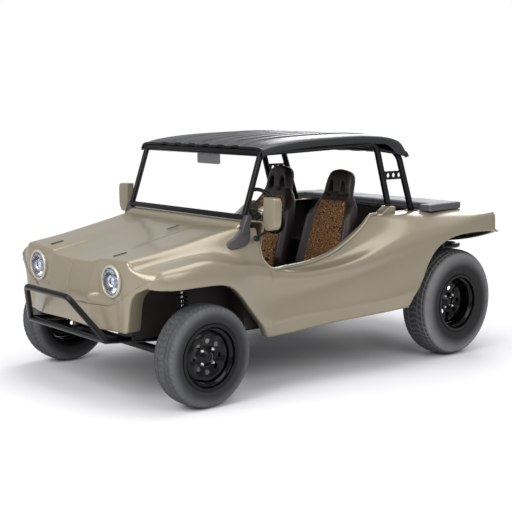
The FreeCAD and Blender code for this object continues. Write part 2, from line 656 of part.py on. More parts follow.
# ahead of its axle (F front, R rear), top height drop, skirt drop, half width
ROOF = (
    (FRONT - 575, front_drop, front_drop + 53, 668),
    (FRONT - 760, 35, 115, 670),
    (FRONT - 1180, rib_height, 92, 672),
    (REAR + 610, rib_height, 80, 672),
    (REAR + 400, 50, 110, 668),
    (REAR + 275, 120, 165, 660),
)
roof_stations = []
for x, drop, skirt, half_width in ROOF:
    left = [(half_width, TOP - skirt), (half_width - 4, TOP - drop - 34), (half_width - 26, TOP - drop - 8),
            (half_width - 100, TOP - drop)]
    roof_stations.append((x, [(-y, z) for y, z in left] + left[::-1]))
roof = skin(roof_stations, WALL)
ribs = []
for y in (80, 235, 390):
    wires = []
    for x, drop, skirt, half_width in ROOF[1:-1]:
        corners = [(y - rib_half, TOP - drop - 2), (y - rib_half + 8, TOP - drop + rib_height),
                   (y + rib_half - 8, TOP - drop + rib_height), (y + rib_half, TOP - drop - 2)]
        wires.append(Part.makePolygon([Vector(x, *corner) for corner in corners + corners[:1]]))
    rib = Part.makeLoft(wires, True, True)
    ribs += [rib, mirrored(rib)]
roof = fused([roof] + ribs)
node("roof", feature("roof", roof))

# ---------------------------------------------------------------- roll cage
tube_radius = size["cage_diameter"] / 2
cage_y = size["cage_y"]
hoop_x = REAR + 345
back_slope = math.atan2(ROOF[-1][1] - ROOF[-2][1], ROOF[-2][0] - ROOF[-1][0])
hoop_z = (TOP - ROOF[-2][1] - (ROOF[-2][0] - hoop_x) * math.tan(back_slope) - WALL
          - tube_radius / math.cos(back_slope) - GAP)
rail_z = TOP - 5 - WALL - tube_radius - 33
rail_end = Vector(screen_top.x - bar / 2 - 8, 0, screen_top.z - bar / 2)
front_leg = [(REAR + 425, cage_y, DECK + 55), (REAR + 560, cage_y, rail_z), (rail_end.x, cage_y, rail_end.z)]
rear_leg = [(REAR + 184, cage_y, DECK + 10), (hoop_x, cage_y, hoop_z), (hoop_x, -cage_y, hoop_z),
            (REAR + 184, -cage_y, DECK + 10)]
cage_parts = [bent_bar(front_leg, tube_radius, 90), mirrored(bent_bar(front_leg, tube_radius, 90)),
              bent_bar(rear_leg, tube_radius, 90)]
gusset_z = DECK + 232 * (TOP - DECK) / 560
gusset = plate([(REAR + 258, gusset_z), (REAR + 474, gusset_z), (REAR + 492, gusset_z + 60),
                (REAR + 279, gusset_z + 60)], "y", cage_y - 4, cage_y + 4)
for x in (-55, 0, 55):
    gusset = gusset.cut(rod((REAR + 376 + x, cage_y - 20, gusset_z + 30),
                            (REAR + 376 + x, cage_y + 20, gusset_z + 30), 16))
cage_parts += [gusset, mirrored(gusset)]
link = rod((hoop_x + 10, cage_y, hoop_z - 20), (REAR + 545, cage_y, rail_z - 40), tube_radius - 4)
foot_plate = block((REAR + 150, cage_y - 32, DECK), (REAR + 215, cage_y + 32, DECK + 10))
cage_parts += [link, mirrored(link), foot_plate, mirrored(foot_plate)]
cage = fused(cage_parts).cut(deck)
node("roll_cage", feature("roll_cage", cage))

# ---------------------------------------------------------------- bumpers
bar_radius = size["bar_diameter"] / 2
top_bar = [(NOSE_END - 150, 452, 410), (NOSE_END - bar_radius, 250, 655), (NOSE_END - bar_radius, -250, 655),
           (NOSE_END - 150, -452, 410)]
low_bar = [(FRONT + 80, 452, 362), (NOSE_END - 150, 452, 410 - 30), (NOSE_END - 118, 395, 405),
           (NOSE_END - 118, -395, 405), (NOSE_END - 150, -452, 410 - 30), (FRONT + 80, -452, 362)]
nudge = [bent_bar(top_bar, bar_radius, 60)]
nudge.append(rod((NOSE_END - 150, -452, 405), (NOSE_END - 150, 452, 405), bar_radius))
for sign in (-1, 1):
    nudge.append(rod((NOSE_END - 150, sign * 452, 405), (beam_x + 27 + 1 + GAP, sign * 452, 362), bar_radius))
    nudge.append(Part.makeSphere(bar_radius, Vector(NOSE_END - 150, sign * 452, 405)))
node("front_bumper", feature("front_bumper", fused(nudge)))

rear_tubes = []
post_x = REAR - 300
for z in (DECK - 320, DECK - 475):
    run = [(post_x, 490, z), (TAIL_END + bar_radius, 490, z), (TAIL_END + bar_radius, -490, z), (post_x, -490, z)]
    rear_tubes.append(bent_bar(run, bar_radius, 90))
for sign in (-1, 1):
    rear_tubes.append(rod((post_x, sign * 490, DECK - 475), (post_x, sign * 490, DECK - WALL - GAP), bar_radius + 3))
node("rear_bumper", feature("rear_bumper", fused(rear_tubes)))

# ---------------------------------------------------------------- mirrors
shells = []
for sign in (-1, 1):
    shell = Part.makeBox(58, 112, 205, Vector(FRONT - 560, 752, 1015))
    shell = shell.makeFillet(22, shell.Edges)
    stalk = rod((FRONT - 505, 668, 962), (FRONT - 530, 800, 1035), 8)
    base = skin(side_stations(4, 6), -22).common(block((FRONT - 525, 600, 935), (FRONT - 488, 760, 985)))
    whole = fused([shell, stalk, base]).cut(flank)
    shells.append(whole if sign > 0 else mirrored(whole))
node("side_mirrors", feature("side_mirrors", Part.makeCompound(shells)))
cabin_mirror = Part.makeBox(26, 236, 74, Vector(screen_top.x - 75, -118, screen_top.z - 114))
cabin_mirror = cabin_mirror.makeFillet(11, cabin_mirror.Edges)
stem_end = screen_top + Vector(-math.cos(lean), 0, -math.sin(lean)) * (bar / 2 + GAP) - Vector(-math.sin(
    lean), 0, math.cos(lean)) * bar / 2
mirror_stem = rod((screen_top.x - 60, 0, screen_top.z - 62), (stem_end.x - 2, 0, stem_end.z), 7)
node("cabin_mirror", feature("cabin_mirror", fused([cabin_mirror, mirror_stem])))

# ---------------------------------------------------------------- seats
seat_half = size["seat_width"] / 2
seat_x = FRONT - 1145


def seat(y):
    """A bucket seat: raised cushion, side bolsters and a tall back with two belt holes."""
    low = pan_top + GAP
    inner_half = seat_half - 62
    base = block((seat_x - 230, y - inner_half, low), (seat_x + 250, y + inner_half, low + 60))
    pad = plate([(seat_x - 240, low + 60), (seat_x + 262, low + 60), (seat_x + 285, low + 120),
                 (seat_x + 280, low + 205), (seat_x + 235, low + 222), (seat_x - 200, low + 165)], "y",
                y - inner_half, y + inner_half)
    side_pad = [(seat_x - 240, low + 50), (seat_x + 235, low + 50), (seat_x + 270, low + 110),
                (seat_x + 255, low + 225), (seat_x + 205, low + 262), (seat_x - 215, low + 225)]
    tall = size["seat_back_height"]
    shoulder = [(-15, 60), (60, 60), (82, 150), (74, 0.51 * tall), (20, 0.7 * tall), (-15, 0.715 * tall)]
    back_outline = [(-seat_half, 0), (-seat_half + 10, 0.5 * tall), (-205, 0.67 * tall), (-150, 0.765 * tall),
                    (-130, 0.94 * tall), (-95, tall)]
    back_outline += [(-a, b) for a, b in back_outline[::-1]]
    back = [plate([(y + a, low + 150 + b) for a, b in back_outline], "x", seat_x - 300, seat_x - 205)]
    whole = [base, pad]
    for edge in (-1, 1):
        across = sorted((y + edge * inner_half, y + edge * seat_half))
        whole.append(plate(side_pad, "y", *across))
        across = sorted((y + edge * (inner_half - 4), y + edge * (seat_half - 6)))
        back.append(plate([(seat_x - 205 + a, low + 150 + b) for a, b in shoulder], "y", *across))
    back = fused(back)
    for hole in (-1, 1):
        corners = [(y + hole * a, low + 150 + b) for a, b in ((28, tall - 190), (105, tall - 198), (85, tall - 98),
                                                                    (40, tall - 78))]
        back = back.cut(plate(corners, "x", seat_x - 400, seat_x))
    back.rotate(Vector(seat_x - 190, y, low + 150), Vector(0, 1, 0), -16)
    return fused(whole + [back])


for side, sign in (("left", 1), ("right", -1)):
    node("seat_" + side, feature("seat_" + side, seat(sign * size["driver_y"])))

# ---------------------------------------------------------------- wheels
BEAD = "rim_diameter / 2"


def tyre_corners(diameter, width):
    """Half of a tyre's section as (along, radius) formulas, open towards the rim."""
    lip = "(%s * 0.44 - 8)" % width
    side = [("%s", lip, BEAD), ("%s", lip, BEAD + " + 15"), ("%s", width + " * 0.47", BEAD + " + 24"),
            ("%s", width + " * 0.5", "(%s / 2 + %s) / 2" % (diameter, BEAD)),
            ("%s", width + " * 0.46", "%s / 2 - 28" % diameter),
            ("%s", width + " * 0.38", "%s / 2 - 6" % diameter), ("%s", width + " * 0.2", "%s / 2" % diameter)]
    return [("-" + along, radius) for _, along, radius in side] + [(along, radius) for _, along, radius in side[::-1]]


def rim_corners(width, dish):
    """A steel rim's section as (along, radius): barrel, lips and a disc set dish inside the outer lip."""
    edge = "%s * 0.44" % width
    face = "(%s - %s)" % (edge, dish)
    return [("-" + edge, BEAD + " + 14"), ("-%s + 8" % edge, BEAD + " + 14"), ("-%s + 8" % edge, BEAD + " - seat_gap"),
            ("-%s + 45" % edge, BEAD + " - seat_gap"), ("-%s + 60" % edge, BEAD + " - 22"),
            ("%s - 40" % edge, BEAD + " - 22"), ("%s - 28" % edge, BEAD + " - seat_gap"), ("%s - 8" % edge, BEAD + " - seat_gap"),
            ("%s - 8" % edge, BEAD + " + 14"), (edge, BEAD + " + 14"), (edge, BEAD + " - 8"),
            ("%s - 24" % edge, BEAD + " - 10"), ("%s - 36" % edge, BEAD + " - 30"), (face, BEAD + " - 32"),
            ("%s + 8" % face, "110"), ("%s - 4" % face, "62"), ("%s + 22" % face, "34"),
            ("%s + 22" % face, "0"), ("%s + 8" % face, "0"),
            ("%s + 8" % face, "spindle_diameter / 2 + hub_clearance"),
            ("%s - 46" % face, "spindle_diameter / 2 + hub_clearance"), ("%s - 46" % face, "60"),
            ("%s - 14" % face, "62"), ("%s - 3" % face, "110"), ("%s - 12" % face, BEAD + " - 32"),
            ("-%s + 60" % edge, BEAD + " - 32"), ("-%s + 36" % edge, BEAD + " - 10"), ("-" + edge, BEAD + " - 8")]


def wheel(place, axle_x, diameter, width, wheel_y, dish):
    """A tyre and a rim at each end of an axle, turned so that the dish faces outwards."""
    for side, sign in (("left", 1), ("right", -1)):
        for piece, corners in (("tyre", tyre_corners(diameter, width)), ("rim", rim_corners(width, dish))):
            label = "%s_%s_%s" % (piece, place, side)
            body = revolved_body(label, corners)
            turn = FreeCAD.Rotation(Vector(0, 0, 1), 90 * sign)
            body.Placement = FreeCAD.Placement(Vector(0, 0, 0), turn)
            body.setExpression("Placement.Base.x", bound(axle_x))
            body.setExpression("Placement.Base.y", bound("%d * %s" % (sign, wheel_y)))
            body.setExpression("Placement.Base.z", bound("%s / 2" % diameter))
            if piece == "rim":
                round_holes(body, "rim_hole_diameter / 2", "rim_hole_reach", 8)
            node(label, body)


wheel("front", "front_axle_x", "front_tyre_diameter", "front_tyre_width", "front_wheel_y", "42")
wheel("rear", "front_axle_x - wheelbase", "rear_tyre_diameter", "rear_tyre_width", "rear_wheel_y", "95")
doc.recompute()

# ---------------------------------------------------------------- front axle and knuckles
front_hub_z = size["front_tyre_diameter"] / 2
rear_hub_z = size["rear_tyre_diameter"] / 2
king_y = size["kingpin_y"]
king_radius = size["kingpin_diameter"] / 2
spindle_radius = size["spindle_diameter"] / 2
front_face_y = size["front_wheel_y"] + size["front_tyre_width"] * 0.44 - 42
arm_plan = [(beam_x - 14, 470), (beam_x + 14, 470), (beam_x + 14, 596), (FRONT + 20, 630), (FRONT + 20, king_y),
            (FRONT - 20, king_y), (beam_x - 14, 645)]
half_beam = [block((beam_x - 16, 458, front_hub_z - 80), (beam_x + 16, 482, 690))]
for z in (front_hub_z - 62, front_hub_z + 62):
    half_beam.append(rod((beam_x, 0, z), (beam_x, 470, z), 27))
    half_beam.append(plate(arm_plan, "z", z - 14, z + 14))
    half_beam.append(rod((FRONT, king_y, z - 14.5), (FRONT, king_y, z + 14.5), king_radius + 10))
half_beam.append(block((beam_x - 40, 0, front_hub_z - 35), (beam_x + 20, 150, front_hub_z + 100)))
half_beam = fused(half_beam)
beam = fused([half_beam, mirrored(half_beam)])
node("front_axle_beam", feature("front_axle_beam", beam))

for side, sign in (("left", 1), ("right", -1)):
    post = rod((FRONT, sign * king_y, front_hub_z - 47), (FRONT, sign * king_y, front_hub_z + 47), king_radius)
    stub = rod((FRONT, sign * king_y, front_hub_z), (FRONT, sign * (front_face_y - 2), front_hub_z), spindle_radius)
    steer_arm = block((FRONT - 130, min(sign * 655, sign * 675), front_hub_z - 12),
                      (FRONT, max(sign * 655, sign * 675), front_hub_z + 12))
    node("knuckle_" + side, feature("knuckle_" + side, fused([post, stub, steer_arm])))

# ---------------------------------------------------------------- shock absorbers
shocks = []
for sign in (-1, 1):
    shocks.append(fused([rod((beam_x, sign * 560, front_hub_z + 78), (beam_x, sign * 540, 690), 22),
                         rod((beam_x, sign * 552, front_hub_z + 130), (beam_x, sign * 544, 650), 36),
                         rod((beam_x, sign * (482 + GAP), shock_height), (beam_x, sign * 545, shock_height), 12)]))
    shocks.append(fused([rod((REAR + 130, sign * 580, rear_hub_z + 31), (REAR + 130, sign * 577, 719.5), 20),
                         rod((REAR + 130, sign * 580, rear_hub_z + 80), (REAR + 130, sign * 577, 670), 34)]))
node("shock_absorbers", feature("shock_absorbers", Part.makeCompound(shocks)))

# ---------------------------------------------------------------- gearbox and rear axle
rear_face_y = size["rear_wheel_y"] + size["rear_tyre_width"] * 0.44 - 95
box_parts = [rod((pan_back - sheet_wall - GAP, 0, rear_hub_z + 10), (REAR - 100, 0, rear_hub_z + 10), 100),
             Part.makeSphere(125, Vector(REAR, 0, rear_hub_z)),
             Part.makeCone(110, 165, 60, Vector(REAR - 90, 0, rear_hub_z + 15), Vector(-1, 0, 0))]
for sign in (-1, 1):
    box_parts.append(rod((REAR, 0, rear_hub_z), (REAR, sign * 610, rear_hub_z), 38))
    box_parts.append(rod((REAR, sign * 590, rear_hub_z), (REAR, sign * 632, rear_hub_z), 105))
    box_parts.append(rod((REAR, sign * 600, rear_hub_z), (REAR, sign * (rear_face_y - 2), rear_hub_z), spindle_radius))
    box_parts.append(block((REAR - 20, min(sign * 560, sign * 600), rear_hub_z - 30),
                           (pan_back - sheet_wall - GAP, max(sign * 560, sign * 600), rear_hub_z + 30)))
node("transaxle", feature("transaxle", fused(box_parts)))

# ---------------------------------------------------------------- engine and exhaust
engine_front = REAR - 150
behind = "front_axle_x - wheelbase - 150 - "
above = "rear_tyre_diameter / 2 + "
engine_parts = [
    set_block("crankcase", (behind + "270", "-170", above + "-90"), ("270", "340", "240")),
    set_block("cylinder_banks", (behind + "240", "-350", above + "-14"), ("195", "700", "98")),
    set_block("fan_housing", (behind + "215", "-210", above + "150"), ("120", "420", "180"))]
pulley = doc.addObject("Part::Cylinder", "pulley")
pulley.Radius, pulley.Height = 85, 30
pulley.Placement = FreeCAD.Placement(Vector(0, 0, 0), FreeCAD.Rotation(Vector(0, 1, 0), 90))
pulley.setExpression("Placement.Base.x", bound(behind + "300"))
pulley.setExpression("Placement.Base.z", bound(above + "20"))
engine_parts.append(pulley)
for step in range(6):
    for side, y in (("left", 192 + 30 * step), ("right", -204 - 30 * step)):
        engine_parts.append(set_block("fin_%s_%d" % (side, step), (behind + "248", str(y), above + "-22"),
                                      ("211", "12", "114")))
node("engine", joined("engine", engine_parts))
pipes = []
muffler_z = DECK - 350
for sign in (-1, 1):
    pipes.append(bent_bar([(engine_front - 100, sign * 300, rear_hub_z - 22 - GAP),
                           (engine_front - 100, sign * 300, rear_hub_z - 90),
                           (engine_front - 290, sign * 250, rear_hub_z - 90),
                           (engine_front - 290, sign * 350, muffler_z - 40)], 21, 40))
    pipes.append(rod((REAR - 480, sign * 350, muffler_z), (REAR - 280, sign * 350, muffler_z), 55))
    pipes.append(rod((REAR - 520, sign * 350, muffler_z), (REAR - 470, sign * 350, muffler_z), 20))
node("exhaust", feature("exhaust", Part.makeCompound([fused(pipes[:3]), fused(pipes[3:])])))

# ---------------------------------------------------------------- steering wheel and column
wheel_radius = size["steering_wheel_diameter"] / 2 - size["steering_rim"] / 2
rim_shape = Part.makeTorus(wheel_radius, size["steering_rim"] / 2, hub, toward_driver)
wheel_parts = [rim_shape, Part.makeCylinder(38, 40, hub - toward_driver * 40, toward_driver),
               Part.makeCylinder(10, 150, hub - toward_driver * 150, toward_driver)]
level = Vector(0, 1, 0)
down = toward_driver.cross(level)
for angle in (0, 180, 90):
    out = level * math.cos(math.radians(angle)) + down * math.sin(math.radians(angle))
    spoke = Part.makeBox(wheel_radius, 34, 6, Vector(0, -17, -3))
    turn = FreeCAD.Matrix(out.x, toward_driver.cross(out).x, toward_driver.x, (hub - toward_driver * 12).x,
                          out.y, toward_driver.cross(out).y, toward_driver.y, (hub - toward_driver * 12).y,
                          out.z, toward_driver.cross(out).z, toward_driver.z, (hub - toward_driver * 12).z,
                          0, 0, 0, 1)
    wheel_parts.append(spoke.transformed(turn))
node("steering_wheel", feature("steering_wheel", fused(wheel_parts)))
column = Part.makeCylinder(size["column_diameter"] / 2, column_length,
                           hub - toward_driver * (column_length + 60), toward_driver)
column = column.cut(Part.makeCylinder(10.4, 140, hub - toward_driver * 190, toward_driver))
node("steering_column", feature("steering_column", column))

# ---------------------------------------------------------------- pedals and levers
pedal_parts = []
for index, y in enumerate((200, 300, 400)):
    pedal_parts.append(fused([block((FRONT - 300, y - 35, pan_top + 190), (FRONT - 288, y + 35, pan_top + 260)),
                              rod((FRONT - 290, y, pan_top + 200), (FRONT - 365, y, pan_top + 3.5), 8)]))
node("pedals", feature("pedals", Part.makeCompound([part.copy() for part in pedal_parts])))
lever = fused([rod((FRONT - 800, 0, pan_top + 160), (FRONT - 860, 0, pan_top + 430), 8),
               Part.makeSphere(26, Vector(FRONT - 860, 0, pan_top + 440)),
               block((FRONT - 860, -26, pan_top + 150 + GAP), (FRONT - 740, 26, pan_top + 170))])
brake_foot = block((FRONT - 985, -22, pan_top + 150 + GAP), (FRONT - 935, 22, pan_top + 172))
brake = fused([brake_foot, rod((FRONT - 960, 0, pan_top + 168), (FRONT - 1190, 0, pan_top + 300), 13)])
node("hand_levers", feature("hand_levers", Part.makeCompound([lever, brake])))

# ---------------------------------------------------------------- checks and files
doc.recompute()
os.makedirs("parts", exist_ok=True)
faults = []
for thing in doc.Objects:
    if "Invalid" in thing.State or "Error" in thing.State:
        faults.append("%s: %s" % (thing.Label, thing.State))
for label, thing in nodes.items():
    if thing.Shape.isNull() or not thing.Shape.isValid() or not thing.Shape.Solids:
        faults.append("%s: no valid solid" % label)
if faults:
    raise SystemExit("\n".join(faults))
for label, thing in nodes.items():
    thing.Shape.exportStep("parts/%s.step" % label)
    print("%-18s %d solid(s) %.4f m3" % (label, len(thing.Shape.Solids), thing.Shape.Volume / 1e9))
print(len(nodes), "nodes")
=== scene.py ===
import bmesh
import bpy
import numpy as np
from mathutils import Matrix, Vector


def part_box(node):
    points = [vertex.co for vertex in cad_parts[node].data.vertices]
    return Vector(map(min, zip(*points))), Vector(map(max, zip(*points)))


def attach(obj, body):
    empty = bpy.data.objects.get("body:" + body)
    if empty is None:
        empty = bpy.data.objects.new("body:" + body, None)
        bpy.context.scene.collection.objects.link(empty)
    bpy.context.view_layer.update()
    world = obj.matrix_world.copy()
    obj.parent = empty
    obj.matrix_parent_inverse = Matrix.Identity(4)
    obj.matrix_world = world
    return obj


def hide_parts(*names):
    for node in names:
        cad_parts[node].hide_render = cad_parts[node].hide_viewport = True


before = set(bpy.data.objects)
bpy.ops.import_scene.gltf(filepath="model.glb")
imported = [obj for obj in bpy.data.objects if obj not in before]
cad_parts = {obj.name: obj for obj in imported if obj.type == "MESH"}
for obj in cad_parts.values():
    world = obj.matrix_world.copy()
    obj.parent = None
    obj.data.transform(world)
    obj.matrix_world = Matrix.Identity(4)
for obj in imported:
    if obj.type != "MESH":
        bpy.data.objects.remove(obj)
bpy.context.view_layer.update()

# ================================================================ view and studio
# A pale floor under broad soft lamps, seen from ahead on the driver's side with a long lens.
front_hub = sum(np.array(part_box("tyre_front_left")) + np.array(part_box("tyre_front_right"))) / 4
rear_hub = sum(np.array(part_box("tyre_rear_left")) + np.array(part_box("tyre_rear_right"))) / 4
FRONT = round(float(front_hub[0]), 4)
REAR = round(float(rear_hub[0]), 4)


def aim(thing, target):
    """Turns a camera or lamp so that it looks at a point."""
    thing.rotation_euler = (Vector(target) - thing.location).to_track_quat("-Z", "Y").to_euler()


def placed(name, data):
    """A new object in the scene."""
    made = bpy.data.objects.new(name, data)
    bpy.context.collection.objects.link(made)
    return made


def add_node(tree, kind, values=(), **settings):
    """A new shader node, with its settings and then the values of its unlinked inputs."""
    made = tree.nodes.new("ShaderNode" + kind)
    for key, value in settings.items():
        setattr(made, key, value)
    for key, value in dict(values).items():
        made.inputs[key].default_value = value
    return made


def wire(tree, *links):
    """Makes links, each given as (node, output, node, input)."""
    for start, output, end, socket in links:
        tree.links.new(start.outputs[output], end.inputs[socket])


camera = placed("camera", bpy.data.cameras.new("camera"))
camera.location = (FRONT + 3.80, 5.79, 1.80)
aim(camera, (0.0, 0.0, 0.72))
camera.data.lens = 76
bpy.context.scene.camera = camera

for name, place, width, power in (
        ("lamp_ahead", (5.0, 1.0, 3.6), 3.5, 175),
        ("lamp_left", (1.0, 5.5, 4.2), 4.0, 110),
        ("lamp_above", (-0.5, 0.0, 5.5), 5.0, 150),
        ("lamp_behind", (-5.0, -3.0, 3.2), 4.0, 150)):
    lamp = placed(name, bpy.data.lights.new(name, "AREA"))
    lamp.data.shape = "DISK"
    lamp.data.size = width
    lamp.data.energy = power
    lamp.location = place
    aim(lamp, (0.0, 0.0, 0.5))

bpy.context.scene.view_settings.view_transform = "Standard"
world = bpy.data.worlds.new("studio")
bpy.context.scene.world = world
world.use_nodes = True
tree = world.node_tree
tree.nodes.clear()
seen = add_node(tree, "LightPath")
either = add_node(tree, "Math", operation="MAXIMUM")
plain = add_node(tree, "Background", {"Color": (0.95, 0.96, 1.0, 1), "Strength": 0.55})
white = add_node(tree, "Background", {"Color": (1, 1, 1, 1), "Strength": 1.0})
pick = add_node(tree, "MixShader")
out = add_node(tree, "OutputWorld")
wire(tree, (seen, "Is Camera Ray", either, 0), (seen, "Is Transmission Ray", either, 1), (either, 0, pick, 0),
     (plain, 0, pick, 1), (white, 0, pick, 2), (pick, 0, out, 0))

# The floor fades into the white backdrop a few metres out, so that it keeps only the shadow.
floor_mesh = bpy.data.meshes.new("floor")
floor_mesh.from_pydata([(-40, -40, 0), (40, -40, 0), (40, 40, 0), (-40, 40, 0)], [], [(0, 1, 2, 3)])
floor = placed("floor", floor_mesh)
floor_paint = bpy.data.materials.new("floor")
floor_paint.use_nodes = True
tree = floor_paint.node_tree
tree.nodes.clear()
place = add_node(tree, "TexCoord")
reach = add_node(tree, "VectorMath", operation="LENGTH")
fade = add_node(tree, "MapRange", {"From Min": 1.6, "From Max": 3.6}, interpolation_type="SMOOTHSTEP")
matt = add_node(tree, "BsdfDiffuse", {"Color": (0.86, 0.86, 0.87, 1)})
glow = add_node(tree, "Emission")
seen = add_node(tree, "LightPath")
both = add_node(tree, "Math", operation="MULTIPLY")
blend = add_node(tree, "MixShader")
out = add_node(tree, "OutputMaterial")
wire(tree, (place, "Object", reach, 0), (reach, "Value", fade, "Value"), (fade, "Result", both, 0),
     (seen, "Is Camera Ray", both, 1), (both, 0, blend, 0), (matt, 0, blend, 1), (glow, 0, blend, 2),
     (blend, 0, out, 0))
floor_mesh.materials.append(floor_paint)

# ================================================================ fibreglass body
# One moulding of sand-coloured fibreglass: nose, hood, wings, flanks, rear deck and tail.  Its
# edges roll into the wheel arches and the door openings.  It is bolted to the floor pan.
DECK = 1.030

# Cross sections, front to rear: place along X, then corners (y, z) from the centre line outwards:
# middle, recess, ridge, edge, top, upper, valley, shoulder, waist, crease, bottom.
SECTIONS = (
    (FRONT + 0.390, (0, 0.842), (0.235, 0.850), (0.285, 0.876), (0.560, 0.888), (0.594, 0.878), (0.612, 0.842),
     (0.655, 0.824), (0.765, 0.812), (0.778, 0.740), (0.770, 0.690), (0.760, 0.600)),
    (FRONT + 0.180, (0, 0.886), (0.235, 0.892), (0.285, 0.912), (0.565, 0.918), (0.602, 0.908), (0.636, 0.868),
     (0.705, 0.862), (0.828, 0.852), (0.852, 0.760), (0.810, 0.560), (0.720, 0.400)),
    (FRONT - 0.040, (0, 0.936), (0.235, 0.940), (0.285, 0.953), (0.570, 0.958), (0.612, 0.950), (0.675, 0.898),
     (0.740, 0.892), (0.838, 0.870), (0.862, 0.760), (0.830, 0.560), (0.760, 0.360)),
    (FRONT - 0.260, (0, 0.988), (0.235, 0.990), (0.285, 0.997), (0.580, 1.002), (0.620, 0.993), (0.690, 0.905),
     (0.745, 0.860), (0.825, 0.824), (0.842, 0.700), (0.815, 0.520), (0.760, 0.345)),
    (FRONT - 0.430, (0, 1.028), (0.235, 1.028), (0.285, 1.030), (0.600, 1.034), (0.632, 1.026), (0.682, 0.930),
     (0.722, 0.850), (0.800, 0.778), (0.778, 0.640), (0.785, 0.430), (0.745, 0.336)),
    (FRONT - 0.730, (0, 1.100), (0.235, 1.100), (0.285, 1.100), (0.610, 1.080), (0.650, 1.010), (0.674, 0.850),
     (0.705, 0.756), (0.806, 0.722), (0.770, 0.600), (0.812, 0.450), (0.780, 0.350)),
    (FRONT - 1.020, (0, DECK), (0.235, DECK), (0.285, DECK), (0.610, DECK), (0.652, 1.010), (0.674, 0.850),
     (0.705, 0.752), (0.820, 0.722), (0.788, 0.620), (0.848, 0.465), (0.820, 0.375)),
    (FRONT - 1.300, (0, DECK), (0.235, DECK), (0.285, DECK), (0.610, DECK), (0.655, 1.015), (0.675, 0.880),
     (0.715, 0.800), (0.838, 0.758), (0.818, 0.650), (0.898, 0.490), (0.875, 0.395)),
    (REAR + 0.640, (0, DECK), (0.235, DECK), (0.285, DECK), (0.610, DECK), (0.655, 1.028), (0.685, 0.985),
     (0.750, 0.900), (0.862, 0.825), (0.852, 0.690), (0.937, 0.520), (0.925, 0.415)),
    (REAR + 0.450, (0, DECK), (0.235, DECK), (0.285, DECK), (0.610, DECK), (0.655, DECK), (0.705, 1.020),
     (0.790, 0.965), (0.890, 0.872), (0.887, 0.735), (0.957, 0.560), (0.945, 0.435)),
    (REAR + 0.130, (0, DECK), (0.235, DECK), (0.285, DECK), (0.610, DECK), (0.655, DECK), (0.740, 1.024),
     (0.845, 0.995), (0.940, 0.945), (0.955, 0.870), (0.968, 0.760), (0.968, 0.640)),
    (REAR - 0.100, (0, DECK), (0.235, DECK), (0.285, DECK), (0.610, DECK), (0.655, DECK), (0.780, 1.026),
     (0.885, 1.014), (0.966, 0.992), (0.976, 0.940), (0.980, 0.860), (0.980, 0.780)),
    (REAR - 0.440, (0, DECK), (0.235, DECK), (0.285, DECK), (0.610, DECK), (0.655, DECK), (0.800, 1.029),
     (0.900, 1.027), (0.979, 1.022), (0.981, 0.960), (0.981, 0.900), (0.981, 0.820)),
)
# How far each corner is rounded towards its neighbours, from 0, sharp, to 0.5.
ROUNDING = (0.5, 0.45, 0.45, 0.35, 0.40, 0.45, 0.50, 0.42, 0.50, 0.16, 0.5)
TOP, SHOULDER, BOTTOM = 4, 7, 10

section_x = np.array([row[0] for row in SECTIONS])[::-1]
section_corners = np.array([row[1:] for row in SECTIONS], dtype=float)[::-1]


def along_stations(x, places, values):
    """Values read between stations: a cubic through them, with Catmull-Rom slopes at each."""
    x = np.clip(x, places[0], places[-1])
    slopes = np.gradient(values, places, axis=0)
    k = np.clip(np.searchsorted(places, x) - 1, 0, len(places) - 2)
    gap = places[k + 1] - places[k]
    t = (x - places[k]) / gap
    shape = t.shape + (1,) * (values.ndim - 1)
    t, gap = t.reshape(shape), gap.reshape(shape)
    return (values[k] * (1 + 2 * t) * (1 - t) ** 2 + slopes[k] * gap * t * (1 - t) ** 2
            + values[k + 1] * t ** 2 * (3 - 2 * t) + slopes[k + 1] * gap * t ** 2 * (t - 1))


def body_section(x, s):
    """Y and Z of the skin at a place along X and a place s round the section.

    s counts the corners from 0 at the middle to 10 at the bottom.  Near a corner the outline is a
    quadratic Bezier arc whose ends lie on the two straight runs; between the arcs it is straight.
    """
    x, s = np.broadcast_arrays(np.asarray(x, float), np.asarray(s, float))
    corners = along_stations(x.ravel(), section_x, section_corners)
    s = np.clip(s.ravel(), 0, BOTTOM)
    near = np.clip(np.rint(s).astype(int), 1, BOTTOM - 1)
    row = np.arange(len(s))
    middle = corners[row, near]
    before, after = corners[row, near - 1], corners[row, near + 1]
    cut = np.array(ROUNDING)[near]
    offset = s - near
    t = np.clip((offset + cut) / (2 * cut), 0, 1)[:, None]
    start = middle + (before - middle) * cut[:, None]
    end = middle + (after - middle) * cut[:, None]
    arc = start * (1 - t) ** 2 + 2 * middle * t * (1 - t) + end * t ** 2
    run = np.where(offset[:, None] < 0, middle + (before - middle) * -offset[:, None],
                   middle + (after - middle) * offset[:, None])
    inside = (np.abs(offset) <= cut)[:, None]
    return np.where(inside, arc, run).reshape(x.shape + (2,))


def section_place(x, z, low_s, high_s):
    """Where the section at x comes down to a height z, found by halving the range of s."""
    low = np.full(np.shape(x), float(low_s))
    high = np.full(np.shape(x), float(high_s))
    for _ in range(30):
        middle = (low + high) / 2
        above = body_section(x, middle)[..., 1] > z
        low = np.where(above, middle, low)
        high = np.where(above, high, middle)
    return (low + high) / 2


def rounded_line(corners, cut, steps):
    """Points along an open outline whose inner corners are quadratic Bezier arcs cut off at a share."""
    corners = np.array(corners, dtype=float)
    points = [corners[:1]]
    t = np.linspace(0, 1, steps)[:, None]
    for before, middle, after in zip(corners, corners[1:], corners[2:]):
        start, end = middle + (before - middle) * cut, middle + (after - middle) * cut
        points.append(start * (1 - t) ** 2 + 2 * middle * t * (1 - t) + end * t ** 2)
    points.append(corners[-1:])
    return np.concatenate(points)


